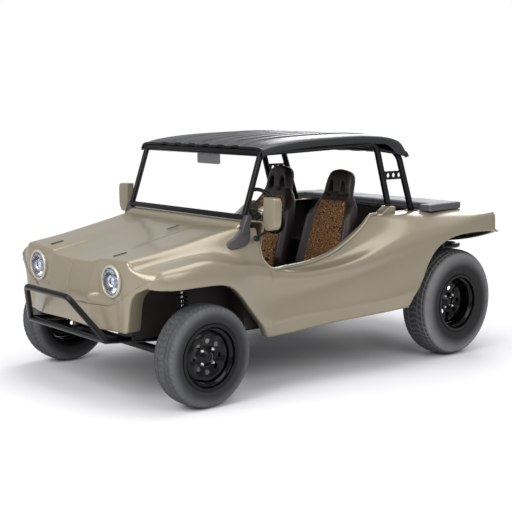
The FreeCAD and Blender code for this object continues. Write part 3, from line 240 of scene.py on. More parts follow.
# Side views of the openings, as (x, z), front to rear.
DOOR_FRONT = FRONT - 0.536
FRONT_ARCH = rounded_line([(FRONT + a, z) for a, z in (
    (0.380, 0.702), (0.340, 0.716), (0.290, 0.730), (0.170, 0.735), (0.000, 0.737), (-0.130, 0.732),
    (-0.210, 0.695), (-0.290, 0.625), (-0.420, 0.500), (-0.500, 0.405), (-0.548, 0.336))], 0.45, 6)
SILL = [(FRONT - 0.560, 0.336), (FRONT - 0.730, 0.345), (REAR + 0.640, 0.405), (REAR + 0.560, 0.418)]
REAR_ARCH = rounded_line([(REAR + a, z) for a, z in (
    (0.552, 0.420), (0.515, 0.490), (0.430, 0.595), (0.345, 0.715), (0.270, 0.800), (0.165, 0.860),
    (0.040, 0.886), (-0.120, 0.892), (-0.250, 0.888), (-0.345, 0.872))], 0.45, 6)
DOOR = rounded_line([
    (DOOR_FRONT, 1.012), (DOOR_FRONT, 0.850), (DOOR_FRONT, 0.790), (FRONT - 0.572, 0.758),
    (FRONT - 0.660, 0.754), (FRONT - 0.800, 0.752), (FRONT - 0.950, 0.758), (FRONT - 1.150, 0.796),
    (FRONT - 1.320, 0.866), (REAR + 0.727, 0.958), (REAR + 0.652, 1.024), (REAR + 0.560, DECK),
    (REAR + 0.500, DECK)], 0.45, 8)
lower_line = np.concatenate([FRONT_ARCH, SILL, REAR_ARCH])[::-1]
upper_line = DOOR[::-1]
upper_line = upper_line[np.concatenate([[True], np.diff(upper_line[:, 0]) > 1e-4])]


def soft(value, knee):
    """Zero well below zero and the value itself well above it, with a rounded knee between."""
    return 0.5 * (value + np.sqrt(value ** 2 + knee ** 2))


def ramp(value, low, high):
    """0 below low, 1 above high and a smooth S between."""
    t = np.clip((value - low) / (high - low), 0, 1)
    return t * t * (3 - 2 * t)


def nose_face(y, z):
    """How far forward the nose stands at (y, z).

    A panel that leans back above the lamps' feet and turns back beyond a fold; each lamp stands in
    an upright niche set into it, joined to the panel by a kite-shaped slope and a short shelf.
    """
    y = np.abs(y)
    panel = FRONT + 0.450 - 0.21 * soft(z - 0.62, 0.02)
    fold = 0.26 + 0.30 * np.clip(0.62 - z, 0, 0.2)
    panel = panel - 0.26 * soft(y - fold, 0.015)
    niche = FRONT + 0.396 - 0.33 * soft(y - 0.590, 0.03) - 0.9 * soft(y - 0.725, 0.04) ** 1.5
    share = np.clip((z - 0.643) / 0.189, 0, 1)
    inner = 0.215 + 0.045 * share
    outer = 0.302 - 0.030 * share
    aside = np.clip((y - inner) / (outer - inner), 0, 1)
    raised = np.maximum(ramp(z, 0.618, 0.668), ramp(y, 0.42, 0.56))
    return panel * (1 - aside * raised) + niche * aside * raised


def tail_face(y, z):
    """How far back the tail stands at (y, z): bowed in plan and leaning out towards its lower edge.

    Each lamp stands in an upright niche beside the proud middle, over a narrow shelf.
    """
    share = np.clip(np.abs(y) / 0.98, 0, 1)
    top = REAR - 0.340 - 0.100 * (1 - share ** 2)
    bottom = DECK - 0.318 + 0.170 * share ** 2
    down = np.clip((DECK - z) / (DECK - bottom), 0, 1)
    panel = top - (0.012 + 0.055 * (1 - share ** 2) + 0.022) * down
    niche = top + 0.006
    inner = 0.385 + 0.100 * np.clip((z - 0.87) / 0.16, 0, 1)
    aside = np.clip((np.abs(y) - inner) / (0.502 - inner), 0, 1)
    raised = np.clip((z - 0.872) / 0.022, 0, 1)
    edge = 0.5 * soft(np.abs(y) - 0.90, 0.05) ** 1.3
    recess_side = np.minimum(ramp(0.362 + 0.10 * (0.93 - z) - np.abs(y), 0, 0.006), ramp(1.002 - z, 0, 0.006))
    recess = 0.008 * np.minimum(recess_side, ramp(z - bottom - 0.062, 0, 0.006))
    return panel * (1 - aside * raised) + niche * aside * raised + edge + recess


def tail_bottom(y):
    """Height of the tail's lower edge, higher towards the corners."""
    return DECK - 0.318 + 0.170 * np.clip(np.abs(y) / 0.98, 0, 1) ** 2


# Rows run round the section, columns along X.  Ahead of the door the rows go from the middle of
# the hood down to the arch; behind it the upper ones stop at the door's edge.
CELL = 0.0198
door_s = float(section_place(np.array([DOOR_FRONT]), np.array([DOOR[DOOR[:, 0] > DOOR_FRONT - 1e-6][-1, 1]]),
                             TOP, SHOULDER)[0])
hood_s = np.concatenate([np.linspace(0, 1, 22)[:-1], np.linspace(1, 3, 34)[:-1], np.linspace(3, TOP, 8)[:-1],
                         np.linspace(TOP, door_s, 22)])
flank_share = np.linspace(0, 1, 56)


def lower_place(x):
    """s of the skin's lower edge: the arch or the sill."""
    return section_place(x, np.interp(x, lower_line[:, 0], lower_line[:, 1]), SHOULDER - 0.3, BOTTOM)


def upper_place(x):
    """s of the flank's upper row: the door's edge, or the constant row ahead of it."""
    height = np.interp(x, upper_line[:, 0], upper_line[:, 1])
    open_s = section_place(x, height, TOP, SHOULDER)
    return np.where(x >= DOOR_FRONT, door_s, np.where(x <= REAR + 0.50, float(TOP), open_s))


def capped(s_of_x, x0, face, sign, radius, rows):
    """Rows of the skin that end in a rounded edge against a face: their last x, and their s.

    The edge's radius is measured inwards from the outline, so a row stops one radius short of
    where the face lies at the outline moved in by that radius.
    """
    x = np.full(rows, x0)
    for _ in range(4):
        s = s_of_x(x)
        here, after, before = (body_section(x, np.clip(s + d, 0, BOTTOM)) for d in (0, 0.05, -0.05))
        tangent = after - before
        tangent /= np.maximum(np.linalg.norm(tangent, axis=-1, keepdims=True), 1e-9)
        inward = np.stack([tangent[:, 1], -tangent[:, 0]], axis=-1)
        inner = here + inward * radius[:, None]
        inner[:, 0] = np.maximum(inner[:, 0], 0)
        x = face(inner[:, 0], inner[:, 1]) - sign * radius
    return x, s, here, inner


def front_s(x):
    """s of every row ahead of the door: the hood's constant ones, then the flank's."""
    low, high = upper_place(x[-len(flank_share):]), lower_place(x[-len(flank_share):])
    return np.concatenate([hood_s, low + (high - low) * flank_share])


def rounded_edge(x, here, inner, sign, radius, steps=7):
    """A quarter turn from the skin over to the face, as columns of points."""
    turn = np.linspace(0, np.pi / 2, steps)[None, :, None]
    flat = here[:, None, :] + (inner - here)[:, None, :] * (1 - np.cos(turn))
    forward = x[:, None] + sign * radius[:, None] * np.sin(turn[..., 0])
    return np.concatenate([forward[..., None], flat], axis=-1)


def towards(inner, target, face, steps):
    """Columns from the rounded edge in to the spine of a face, each point set on the face."""
    share = np.linspace(0, 1, steps)[None, :, None]
    flat = inner[:, None, :] * (1 - share) + target[:, None, :] * share
    return np.concatenate([face(flat[..., 0], flat[..., 1])[..., None], flat], axis=-1)


def grid_faces(rows, columns, first=0):
    """Quads of a grid whose vertices are numbered row by row."""
    corner = (np.arange(rows - 1)[:, None] * columns + np.arange(columns - 1)).ravel() + first
    return np.stack([corner, corner + 1, corner + columns + 1, corner + columns], axis=-1)


def as_object(name, mesh, work, sharp=None):
    """An object from a mesh's edited state, shaded smooth but for edges above an angle."""
    work.to_mesh(mesh)
    work.free()
    mesh.polygons.foreach_set("use_smooth", [True] * len(mesh.polygons))
    if sharp is not None:
        mesh.set_sharp_from_angle(angle=np.radians(sharp))
    return placed(name, mesh)


def joined_mesh(name, grids, weld=0.0004, mirror=True, drop=None, flip=False):
    """One mesh from grids of points, mirrored across the centre plane and welded along their edges."""
    points, faces, count = [], [], 0
    for grid in grids:
        for side in ((1, -1) if mirror else (1,)):
            flat = grid.reshape(-1, 3) * np.array([1, side, 1])
            quads = grid_faces(grid.shape[0], grid.shape[1], count)
            if (side < 0) != flip:
                quads = quads[:, ::-1]
            if drop is not None:
                middle = flat[quads - count].mean(axis=1)
                quads = quads[~drop(middle)]
            points.append(flat)
            faces.append(quads)
            count += len(flat)
    mesh = bpy.data.meshes.new(name)
    mesh.from_pydata(np.concatenate(points).tolist(), [], np.concatenate(faces).tolist())
    work = bmesh.new()
    work.from_mesh(mesh)
    bmesh.ops.remove_doubles(work, verts=work.verts, dist=weld)
    bmesh.ops.dissolve_degenerate(work, edges=work.edges, dist=1e-5)
    loose = [vertex for vertex in work.verts if not vertex.link_faces]
    bmesh.ops.delete(work, geom=loose, context="VERTS")
    return as_object(name, mesh, work)


def recalculated(piece):
    """Turns every face of a welded mesh outwards."""
    work = bmesh.new()
    work.from_mesh(piece.data)
    bmesh.ops.recalc_face_normals(work, faces=work.faces)
    work.to_mesh(piece.data)
    work.free()


LAMP_Y = 0.435
LAMP_Z = 0.752
LAMP_RADIUS = 0.098

# Nose: the radius grows from the hood's crisp edge to the wing's broad corner.  The face's columns
# end on a spine, at one height and no further out than SPINE_Y.
SPINE_Y, SPINE_Z = 0.42, 0.600
rows = len(hood_s) + len(flank_share)
row_s = np.concatenate([hood_s, np.linspace(door_s, 8, len(flank_share))])
nose_radius = 0.014 + 0.012 * ramp(row_s, 2, 3) + 0.065 * ramp(row_s, 5.3, 7.0)
nose_x, nose_s, nose_here, nose_inner = capped(front_s, FRONT + 0.36, nose_face, 1, nose_radius, rows)
spine = np.stack([np.minimum(nose_inner[:, 0], SPINE_Y), np.full(rows, SPINE_Z)], axis=-1)
nose_edge = rounded_edge(nose_x, nose_here, nose_inner, 1, nose_radius)
nose_rows = towards(nose_inner, spine, nose_face, 38)

# The nose's free lower edge, from the wing's arch round to the middle.
arch_end = nose_inner[-1]
free_edge = np.concatenate([
    rounded_line([(arch_end[0], arch_end[1]), (0.618, 0.700), (0.600, 0.545)], 0.62, 14),
    rounded_line([(0.600, 0.545), (0.585, 0.455), (0.300, 0.462), (0.000, 0.470)], 0.25, 9)[1:]])
between = np.linspace(0, 1, 5)[:-1, None]
free_edge = np.concatenate([np.concatenate([a + (b - a) * between for a, b in zip(free_edge, free_edge[1:])]),
                            free_edge[-1:]])
free_spine = np.stack([np.minimum(free_edge[:, 0], SPINE_Y), np.full(len(free_edge), SPINE_Z)], axis=-1)
free_rows = towards(free_edge, free_spine, nose_face, 22)

# Columns of the wings and flanks; the first few follow the nose's edge, the last the tail's.
flank_columns = np.concatenate([np.arange(FRONT + 0.13, DOOR_FRONT + 0.001, -CELL), [DOOR_FRONT]])
hood_end = FRONT - 0.452


def skin_rows(row_count, x_columns, s_rows):
    """A block of skin: for each row and column the point at that x and that row's s."""
    x = np.broadcast_to(x_columns, (row_count, x_columns.shape[-1]))
    s = s_rows(x[0]) if callable(s_rows) else s_rows
    flat = body_section(x, np.broadcast_to(s, x.shape))
    return np.concatenate([x[..., None], flat], axis=-1)


def flank_s(x):
    """s of the flank's rows, evenly spread between its upper and lower edge."""
    return upper_place(x)[None, :] + (lower_place(x) - upper_place(x))[None, :] * flank_share[:, None]


lead_in = np.linspace(0, 1, 12)[None, :]
first_x = nose_x[:, None] + (flank_columns[0] - nose_x[:, None]) * lead_in
first_s = nose_s[:, None] + (front_s(np.full(rows, flank_columns[0]))[:, None] - nose_s[:, None]) * lead_in
lead = np.concatenate([first_x[..., None], body_section(first_x, first_s)], axis=-1)

TAIL_START = REAR - 0.30
behind_door = np.append(np.arange(DOOR_FRONT, TAIL_START, -CELL), TAIL_START)
flank = skin_rows(len(flank_share), np.concatenate([flank_columns, behind_door[1:]]), flank_s)
top_row = int(np.argmin(np.abs(hood_s - TOP)))
hood_columns = np.concatenate([flank_columns[flank_columns > hood_end + 0.005], [hood_end]])
hood_part = skin_rows(top_row + 1, hood_columns, hood_s[:top_row + 1, None])
wing_part = skin_rows(len(hood_s) - top_row, flank_columns, hood_s[top_row:, None])

# Tail: the skin's last columns run out to the tail's rounded edge.
deck_s = np.concatenate([np.linspace(0, 3, 40)[:-1], np.linspace(3, TOP, 6)])
rear_rows = len(deck_s) - 1 + len(flank_share)


def rear_s(x):
    """s of every row behind the door: the deck's constant ones, then the flank's."""
    low, high = np.full(len(flank_share), float(TOP)), lower_place(x[-len(flank_share):])
    return np.concatenate([deck_s[:-1], low + (high - low) * flank_share])


rear_radius = np.full(rear_rows, 0.030)
tail_x, tail_s, tail_here, tail_inner = capped(rear_s, REAR - 0.34, tail_face, -1, rear_radius, rear_rows)
start_x = np.full(rear_rows, TAIL_START)
lead_out = np.linspace(0, 1, 8)[None, :]
rear_x = start_x[:, None] + (tail_x - start_x)[:, None] * lead_out
rear_places = rear_s(start_x)[:, None] + (tail_s - rear_s(start_x))[:, None] * lead_out
rear_lead = np.concatenate([rear_x[..., None], body_section(rear_x, rear_places)], axis=-1)
tail_edge = rounded_edge(tail_x, tail_here, tail_inner, -1, rear_radius)
TAIL_CORNER = 0.90


def above_tail_edge(line):
    """The places just above the tail's lower edge at which the columns from a line end."""
    y = np.minimum(line[:, 0], TAIL_CORNER)
    return np.stack([y, tail_bottom(y) + 0.012], axis=-1)


tail_rows = towards(tail_inner, above_tail_edge(tail_inner), tail_face, 28)
corner_line = np.stack([np.linspace(tail_inner[-1, 0], TAIL_CORNER, 12),
                        np.linspace(tail_inner[-1, 1], tail_bottom(TAIL_CORNER), 12)], axis=-1)
edge_y = np.linspace(TAIL_CORNER, 0, 70)
low_line = np.concatenate([corner_line[:-1], np.stack([edge_y, tail_bottom(edge_y)], axis=-1)])
tail_low = towards(low_line, above_tail_edge(low_line), tail_face, 3)

deck_x = np.append(np.arange(REAR + 0.05, TAIL_START, -0.02), TAIL_START)
deck_mid = skin_rows(len(deck_s), deck_x, deck_s[:, None])
strip_s = np.linspace(2.868, TOP, 8)
strip_x = np.linspace(REAR + 0.56, REAR + 0.05, 24)
deck_strip = skin_rows(len(strip_s), strip_x, strip_s[:, None])


def lamp_holes(points):
    """True where a face lies behind a headlight."""
    away = np.hypot(np.abs(points[:, 1]) - LAMP_Y, points[:, 2] - LAMP_Z)
    return (away < LAMP_RADIUS - 0.008) & (points[:, 0] > FRONT + 0.3)


body = joined_mesh("body", [nose_rows, nose_edge, lead, free_rows[::-1], flank, hood_part, wing_part, deck_mid,
                            deck_strip, rear_lead, tail_edge, tail_rows, tail_low[::-1]], drop=lamp_holes)
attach(body, "chassis")
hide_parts("front_wing_left", "front_wing_right", "body_side_left", "body_side_right", "hood",
            "nose_panel", "tail_panel", "rear_deck")
recalculated(body)


def thickened(piece, thickness, offset=-1):
    """Gives a skin a wall: inwards of it for offset -1, half to each side for offset 0."""
    wall = piece.modifiers.new("wall", "SOLIDIFY")
    wall.thickness, wall.offset = thickness, offset


thickened(body, 0.006)


def linear(red, green, blue):
    """A colour given as 0 to 255 on screen, as the linear values that shaders read."""
    share = np.array([red, green, blue]) / 255
    return (*np.where(share <= 0.04045, share / 12.92, ((share + 0.055) / 1.055) ** 2.4).tolist(), 1)


def in_relief(tree, source, output, strength, distance):
    """Leads a texture's output into the shader's normal as a relief."""
    relief = add_node(tree, "Bump", {"Strength": strength, "Distance": distance})
    wire(tree, (source, output, relief, "Height"),
         (relief, "Normal", tree.nodes["Principled BSDF"], "Normal"))


def finish(name, colour, rough, metal=0.0, cloud=0.06, cloud_size=2.5, grain=0.0, grain_size=300.0, coat=0.0,
           gloss=0.5):
    """A material: one colour with soft clouds of lighter and darker tone, and a fine grain in relief."""
    made = bpy.data.materials.new(name)
    made.use_nodes = True
    tree = made.node_tree
    shader = tree.nodes["Principled BSDF"]
    for key, value in (("Metallic", metal), ("Coat Weight", coat), ("Specular IOR Level", gloss),
                       ("Coat Roughness", 0.12)):
        shader.inputs[key].default_value = value
    place = add_node(tree, "TexCoord")
    clouds = add_node(tree, "TexNoise", {"Scale": cloud_size, "Detail": 4})
    dark, light = ((*(value * share for value in linear(*colour)[:3]), 1) for share in (1 - cloud, 1 + cloud))
    mix = add_node(tree, "Mix", {"A": dark, "B": light}, data_type="RGBA")
    shine = add_node(tree, "MapRange", {"To Min": max(rough - 0.05, 0.02), "To Max": rough + 0.05})
    wire(tree, (place, "Object", clouds, "Vector"), (clouds, "Fac", mix, "Factor"),
         (mix, "Result", shader, "Base Color"), (clouds, "Fac", shine, "Value"),
         (shine, "Result", shader, "Roughness"))
    if grain:
        fine = add_node(tree, "TexNoise", {"Scale": grain_size, "Detail": 3})
        wire(tree, (place, "Object", fine, "Vector"))
        in_relief(tree, fine, "Fac", grain, 0.002)
    return made


paint = finish("sand paint", (145, 135, 114), 0.34, metal=0.35, cloud=0.03, grain=0.04, grain_size=900, coat=0.45)
black_steel = finish("black steel", (9, 9, 10), 0.26, grain=0.04, grain_size=400, gloss=0.25)
roof_black = finish("black roof", (30, 31, 34), 0.32, cloud=0.12, grain=0.12, grain_size=700, gloss=0.45)
black_plastic = finish("black plastic", (20, 20, 22), 0.45, grain=0.15, grain_size=500, gloss=0.3)
well_black = finish("underseal", (17, 17, 18), 0.7, grain=0.3, grain_size=120)
chrome = finish("chrome", (200, 202, 205), 0.12, metal=1.0, cloud=0.02)
steel = finish("bright steel", (150, 150, 152), 0.34, metal=1.0, cloud=0.06)
cast = finish("cast aluminium", (118, 114, 106), 0.5, metal=0.85, cloud=0.15, cloud_size=9, grain=0.3, grain_size=90)
copper = finish("header pipe", (112, 84, 72), 0.36, metal=1.0, cloud=0.25, cloud_size=14)


def dress(piece, material, body_name="chassis", stands_for=()):
    """Gives a finished piece its material and its body, and the CAD nodes it stands for."""
    piece.data.materials.clear()
    piece.data.materials.append(material)
    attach(piece, body_name)
    if stands_for:
        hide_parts(*stands_for)
    return piece


body.data.materials.append(paint)


def carried(path, profile, aside, outwards):
    """A profile carried along a path: rows of path + a * aside + b * outwards for each (a, b)."""
    profile = np.array(profile)
    return (path[:, None, :] + profile[None, :, :1] * aside[:, None, :]
            + profile[None, :, 1:] * outwards[:, None, :])


def into_opening(path):
    """For a side-view path run front to rear below an opening, the direction into it, in the XZ plane."""
    tangent = np.gradient(path, axis=0)
    tangent[:, 1] = 0
    tangent /= np.linalg.norm(tangent, axis=1, keepdims=True)
    return np.stack([tangent[:, 2], np.zeros(len(path)), -tangent[:, 0]], axis=-1)


# Door lips: the skin rolls over the door's edge and down inside the cabin.
below_edge = flank[0][flank[0][:, 0] < DOOR_FRONT - 0.001]
door_path = np.concatenate([wing_part[8:, -1], below_edge[below_edge[:, 0] > REAR + 0.565]])
inwards = np.tile([0.0, -1.0, 0.0], (len(door_path), 1))
roll = np.linspace(0, np.pi, 13)
depth = np.interp(door_path[:, 0], [REAR + 0.57, REAR + 0.80], [0.25, 1.0])
lip_profile = np.concatenate([np.stack([0.026 * (1 - np.cos(roll)), 0.015 * np.sin(roll)], axis=-1),
                              [(0.052, -0.02), (0.052, -0.07)]])
into = into_opening(door_path)
lip = carried(door_path, lip_profile, inwards * depth[:, None], into)

# Arch and sill flanges: the skin turns in round each wheel, and the nose turns back.
low_edge = np.concatenate([lead[-1][:-1], flank[-1], rear_lead[-1][1:]])
flange_depth = np.where((low_edge[:, 0] < FRONT - 0.55) & (low_edge[:, 0] > REAR + 0.55), 0.10, 0.055)
flange_profile = [(0, 0), (0.10, 0.020), (0.3, 0.022), (1.0, 0.022)]
turned_in = -np.stack([0 * flange_depth, flange_depth, 0 * flange_depth], axis=-1)
towards_wheel = into_opening(low_edge) * -0.10
flange = carried(low_edge, flange_profile, turned_in, towards_wheel)
free_line = free_rows[:, 0]
back = np.tile([-0.085, 0.0, 0.0], (len(free_line), 1))
nose_flange = carried(free_line, [(0, 0), (0.05, 0.3), (1, 0.3)], back,
                      np.stack([0 * free_line[:, 0], -0.008 * ramp(free_line[:, 1], 0.4, 0.6),
                                0.008 * (1 - ramp(free_line[:, 1], 0.5, 0.6))], axis=-1))
tail_line = tail_low[:, 0]
tail_flange = carried(tail_line, [(0, 0), (0.10, 0.3), (1, 0.3)], np.tile([0.035, 0, 0], (len(tail_line), 1)),
                      np.tile([0, 0, 0.010], (len(tail_line), 1)))
edges = joined_mesh("body_edges", [lip, flange, nose_flange, tail_flange])
thickened(edges, 0.005, offset=0)
dress(edges, paint)

# ================================================================ headlights
# A chromed ring round a clear moulded lens over a bright bowl, in each niche of the nose.
def surface(name, grid, closed_rows=False, closed_columns=False, sharp=35):
    """A mesh over a grid of points, joined round where the rows or columns close."""
    if closed_rows:
        grid = np.concatenate([grid, grid[:1]])
    if closed_columns:
        grid = np.concatenate([grid, grid[:, :1]], axis=1)
    piece = joined_mesh(name, [grid], weld=1e-5, mirror=False)
    recalculated(piece)
    piece.data.set_sharp_from_angle(angle=np.radians(sharp))
    return piece


def turned(profile, steps=96):
    """A profile of (along, radius) turned round the X axis: rows round it, columns along it."""
    profile = np.array(profile, dtype=float)
    angle = np.linspace(0, 2 * np.pi, steps, endpoint=False)[:, None]
    return np.stack([np.broadcast_to(profile[:, 0], (steps, len(profile))), profile[:, 1] * np.cos(angle),
                     profile[:, 1] * np.sin(angle)], axis=-1)


def lathe(name, profile, centre, axis, steps=96, sharp=35):
    """A turned piece whose profile (along, radius) runs along an axis from a centre."""
    onto_axis = np.array(Vector((1, 0, 0)).rotation_difference(Vector(axis)).to_matrix())
    grid = turned(profile, steps) @ onto_axis.T + np.array(centre)
    return surface(name, grid, closed_rows=True, sharp=sharp)


def merged(name, pieces):
    """Several finished meshes as one object."""
    pieces = list(pieces)
    with bpy.context.temp_override(active_object=pieces[0], selected_editable_objects=pieces,
                                   selected_objects=pieces, object=pieces[0]):
        bpy.ops.object.join()
    pieces[0].name = name
    return pieces[0]


def clear_material(name, colour, rough, transmission=1.0, index=1.45):
    """Glass or a tinted lens."""
    made = bpy.data.materials.new(name)
    made.use_nodes = True
    shader = made.node_tree.nodes["Principled BSDF"]
    shader.inputs["Base Color"].default_value = linear(*colour)
    shader.inputs["Roughness"].default_value = rough
    shader.inputs["Transmission Weight"].default_value = transmission
    shader.inputs["IOR"].default_value = index
    return made


lens_clear = clear_material("lens", (250, 250, 250), 0.03)
NICHE = FRONT + 0.396
rings, bowls, lenses = [], [], []
for side in (1, -1):
    middle = (NICHE, side * LAMP_Y, LAMP_Z)
    rings.append(lathe("ring", [(0.0, LAMP_RADIUS), (0.010, LAMP_RADIUS), (0.015, LAMP_RADIUS - 0.004),
                                (0.017, LAMP_RADIUS - 0.009), (0.014, LAMP_RADIUS - 0.014),
                                (0.004, LAMP_RADIUS - 0.015)], middle, (1, 0, 0)))
    bowl = [(0.006 - 0.055 * (1 - r ** 2), r * (LAMP_RADIUS - 0.015)) for r in np.linspace(1, 0.30, 14)]
    bowls.append(lathe("bowl", bowl + [(-0.030, 0.026), (-0.012, 0.022), (-0.008, 0.014), (-0.006, 0.0001)],
                       middle, (1, 0, 0)))
    dome = [(0.006 + 0.016 * (1 - r ** 2), r * (LAMP_RADIUS - 0.014)) for r in np.linspace(1, 0.001, 14)]
    lenses.append(lathe("lens", dome, middle, (1, 0, 0)))
ring_metal = finish("lamp ring", (186, 181, 166), 0.38, metal=0.4, cloud=0.02)
dress(merged("headlight_rings", rings), ring_metal, stands_for=("headlights",))
bowl_material = finish("lamp bowl", (205, 210, 220), 0.15, metal=1.0, cloud=0.3, cloud_size=40, grain=0.9,
                       grain_size=55)
dress(merged("headlight_bowls", bowls), bowl_material)
dress(merged("headlight_lenses", lenses), lens_clear)

# ================================================================ hood slots
# Short slots in the hood, where its catches sit under the skin, each drawn as a black strip over the hood: painted
# shade for the dark inside of the opening.
def box_piece(name, low, high, round_edge=0.004, steps=3):
    """A box with rounded edges."""
    mesh = bpy.data.meshes.new(name)
    work = bmesh.new()
    bmesh.ops.create_cube(work, size=1)
    for vertex in work.verts:
        vertex.co = Vector([low[i] + (vertex.co[i] + 0.5) * (high[i] - low[i]) for i in range(3)])
    if round_edge:
        bmesh.ops.bevel(work, geom=list(work.edges), offset=round_edge, segments=steps, profile=0.5, affect="EDGES")
    return as_object(name, mesh, work, sharp=40)


def strip_on_hood(name, x0, x1, y, half_width, lift=0.0012):
    """A narrow strip lying just over the hood."""
    x = np.linspace(x0, x1, 14)[:, None]
    across = np.linspace(-half_width, half_width, 3)[None, :]
    s = np.full((14, 1), 2 + (abs(y) - 0.285) / 0.285)
    low = body_section(x, s)[..., 1] + lift
    return surface(name, np.stack(np.broadcast_arrays(x, y + across, low), axis=-1))


slots = [strip_on_hood("slot", FRONT + 0.25, FRONT + 0.345, side * 0.372, 0.010, 0.004) for side in (1, -1)]
slots.append(strip_on_hood("slot", FRONT - 0.300, FRONT - 0.205, 0.150, 0.011, 0.008))
# The strips take black plastic as painted shade for the slots' openings.
dress(merged("hood_slots", slots), black_plastic)

# ================================================================ dashboard and cowl
# A folded fibreglass shelf under the windscreen: instrument hump, four dials and a glove box.
def prism(name, outline, axis, low, high, round_edge=0.004, steps=3, sharp=40):
    """An outline pushed along an axis, with rounded edges.

    The outline's pairs are (y, z) for axis x, (x, z) for axis y and (x, y) for axis z.
    """
    put = {"x": lambda a, b, c: (c, a, b), "y": lambda a, b, c: (a, c, b), "z": lambda a, b, c: (a, b, c)}[axis]
    work = bmesh.new()
    lower = [work.verts.new(put(a, b, low)) for a, b in outline]
    upper = [work.verts.new(put(a, b, high)) for a, b in outline]
    work.faces.new(lower)
    work.faces.new(upper[::-1])
    for i in range(len(outline)):
        work.faces.new((lower[i - 1], upper[i - 1], upper[i], lower[i]))
    bmesh.ops.recalc_face_normals(work, faces=work.faces)
    if round_edge:
        bmesh.ops.bevel(work, geom=list(work.edges), offset=round_edge, segments=steps, profile=0.5,
                        affect="EDGES", clamp_overlap=True)
    return as_object(name, bpy.data.meshes.new(name), work, sharp)


DRIVER = 0.320
cowl_line = rounded_line([(FRONT - 0.400, 1.023), (FRONT - 0.452, 1.066), (FRONT - 0.600, 1.056),
                          (FRONT - 0.622, 1.035), (FRONT - 0.590, 0.862), (FRONT - 0.560, 0.852)], 0.2, 6)
cowl_y = np.linspace(-0.628, 0.628, 40)
shelf = surface("shelf", np.stack(np.broadcast_arrays(cowl_line[:, 0], cowl_y[:, None], cowl_line[:, 1]), axis=-1))
thickened(shelf, 0.008)
hump = prism("hump", [(FRONT - 0.592, 1.052), (FRONT - 0.645, 1.046), (FRONT - 0.652, 1.030),
                      (FRONT - 0.640, 0.936), (FRONT - 0.592, 0.940)], "y", DRIVER - 0.175, DRIVER + 0.175, 0.012, 4)
glove_box = prism("glove_box", [(FRONT - 0.590, 0.980), (FRONT - 0.640, 0.966), (FRONT - 0.622, 0.868),
                                (FRONT - 0.580, 0.862)], "y", -0.575, -0.205, 0.010, 4)
dress(merged("dashboard_panel", [hump, glove_box]), paint)
dress(shelf, paint, stands_for=("dashboard",))
dials, bezels = [], []
for across, radius in ((-0.130, 0.028), (-0.048, 0.042), (0.048, 0.042), (0.130, 0.028)):
    centre = (FRONT - 0.648, DRIVER + across, 0.993)
    bezels.append(lathe("bezel", [(0.0, radius), (0.007, radius), (0.009, radius - 0.002), (0.008, radius - 0.005),
                                  (0.003, radius - 0.006)], centre, (-1, 0, 0.08), 48))
    dials.append(lathe("dial", [(0.0035, radius - 0.005), (0.003, 0.006), (0.006, 0.004), (0.006, 0.0001)], centre,
                       (-1, 0, 0.08), 48))
dress(merged("dial_rings", bezels), chrome)
dress(merged("dial_faces", dials), finish("dial face", (196, 192, 180), 0.3, cloud=0.2, cloud_size=60))

# ================================================================ windscreen
# A black frame of rounded bars holding laminated glass, on a boot-shaped casting on each wing.
LEAN = np.radians(19)
SCREEN_FOOT = np.array([FRONT - 0.452, 0.0, 1.0715])
SCREEN_HALF, SCREEN_TALL, SCREEN_BAR = 0.640, 0.455, 0.032


def about_y(angle):
    """The matrix that turns points about the Y axis by an angle."""
    return np.array([[np.cos(angle), 0, np.sin(angle)], [0, 1, 0], [-np.sin(angle), 0, np.cos(angle)]])


lean_turn = about_y(-LEAN)


def leaned(piece):
    """Leans back a piece drawn upright at the foot of the windscreen."""
    for vertex in piece.data.vertices:
        vertex.co = Vector(lean_turn @ np.array(vertex.co) + SCREEN_FOOT)
    return piece


screen_top = SCREEN_FOOT + lean_turn @ np.array([0, 0, SCREEN_TALL])
bar = SCREEN_BAR / 2
posts = [leaned(box_piece("post", (-bar, side * SCREEN_HALF - (SCREEN_BAR if side > 0 else 0), -0.006),
                          (bar, side * SCREEN_HALF + (0 if side > 0 else SCREEN_BAR), SCREEN_TALL), 0.009, 4))
         for side in (1, -1)]
bars = [leaned(box_piece("bar", (-bar, -SCREEN_HALF + 0.01, low), (bar, SCREEN_HALF - 0.01, low + tall), 0.007, 4))
        for low, tall in ((0, 0.026), (SCREEN_TALL - SCREEN_BAR, SCREEN_BAR))]
rubber_bead = [leaned(box_piece("bead", low, high, 0.003, 2)) for low, high in (
    ((-0.007, -0.610, 0.024), (0.007, 0.610, 0.034)),
    ((-0.007, -0.610, SCREEN_TALL - 0.042), (0.007, 0.610, SCREEN_TALL - 0.030)),
    ((-0.007, 0.598, 0.024), (0.007, 0.610, SCREEN_TALL - 0.032)),
    ((-0.007, -0.610, 0.024), (0.007, -0.598, SCREEN_TALL - 0.032)))]
dress(merged("windscreen_bars", posts + bars + rubber_bead), black_steel,
      stands_for=("windscreen_frame",))

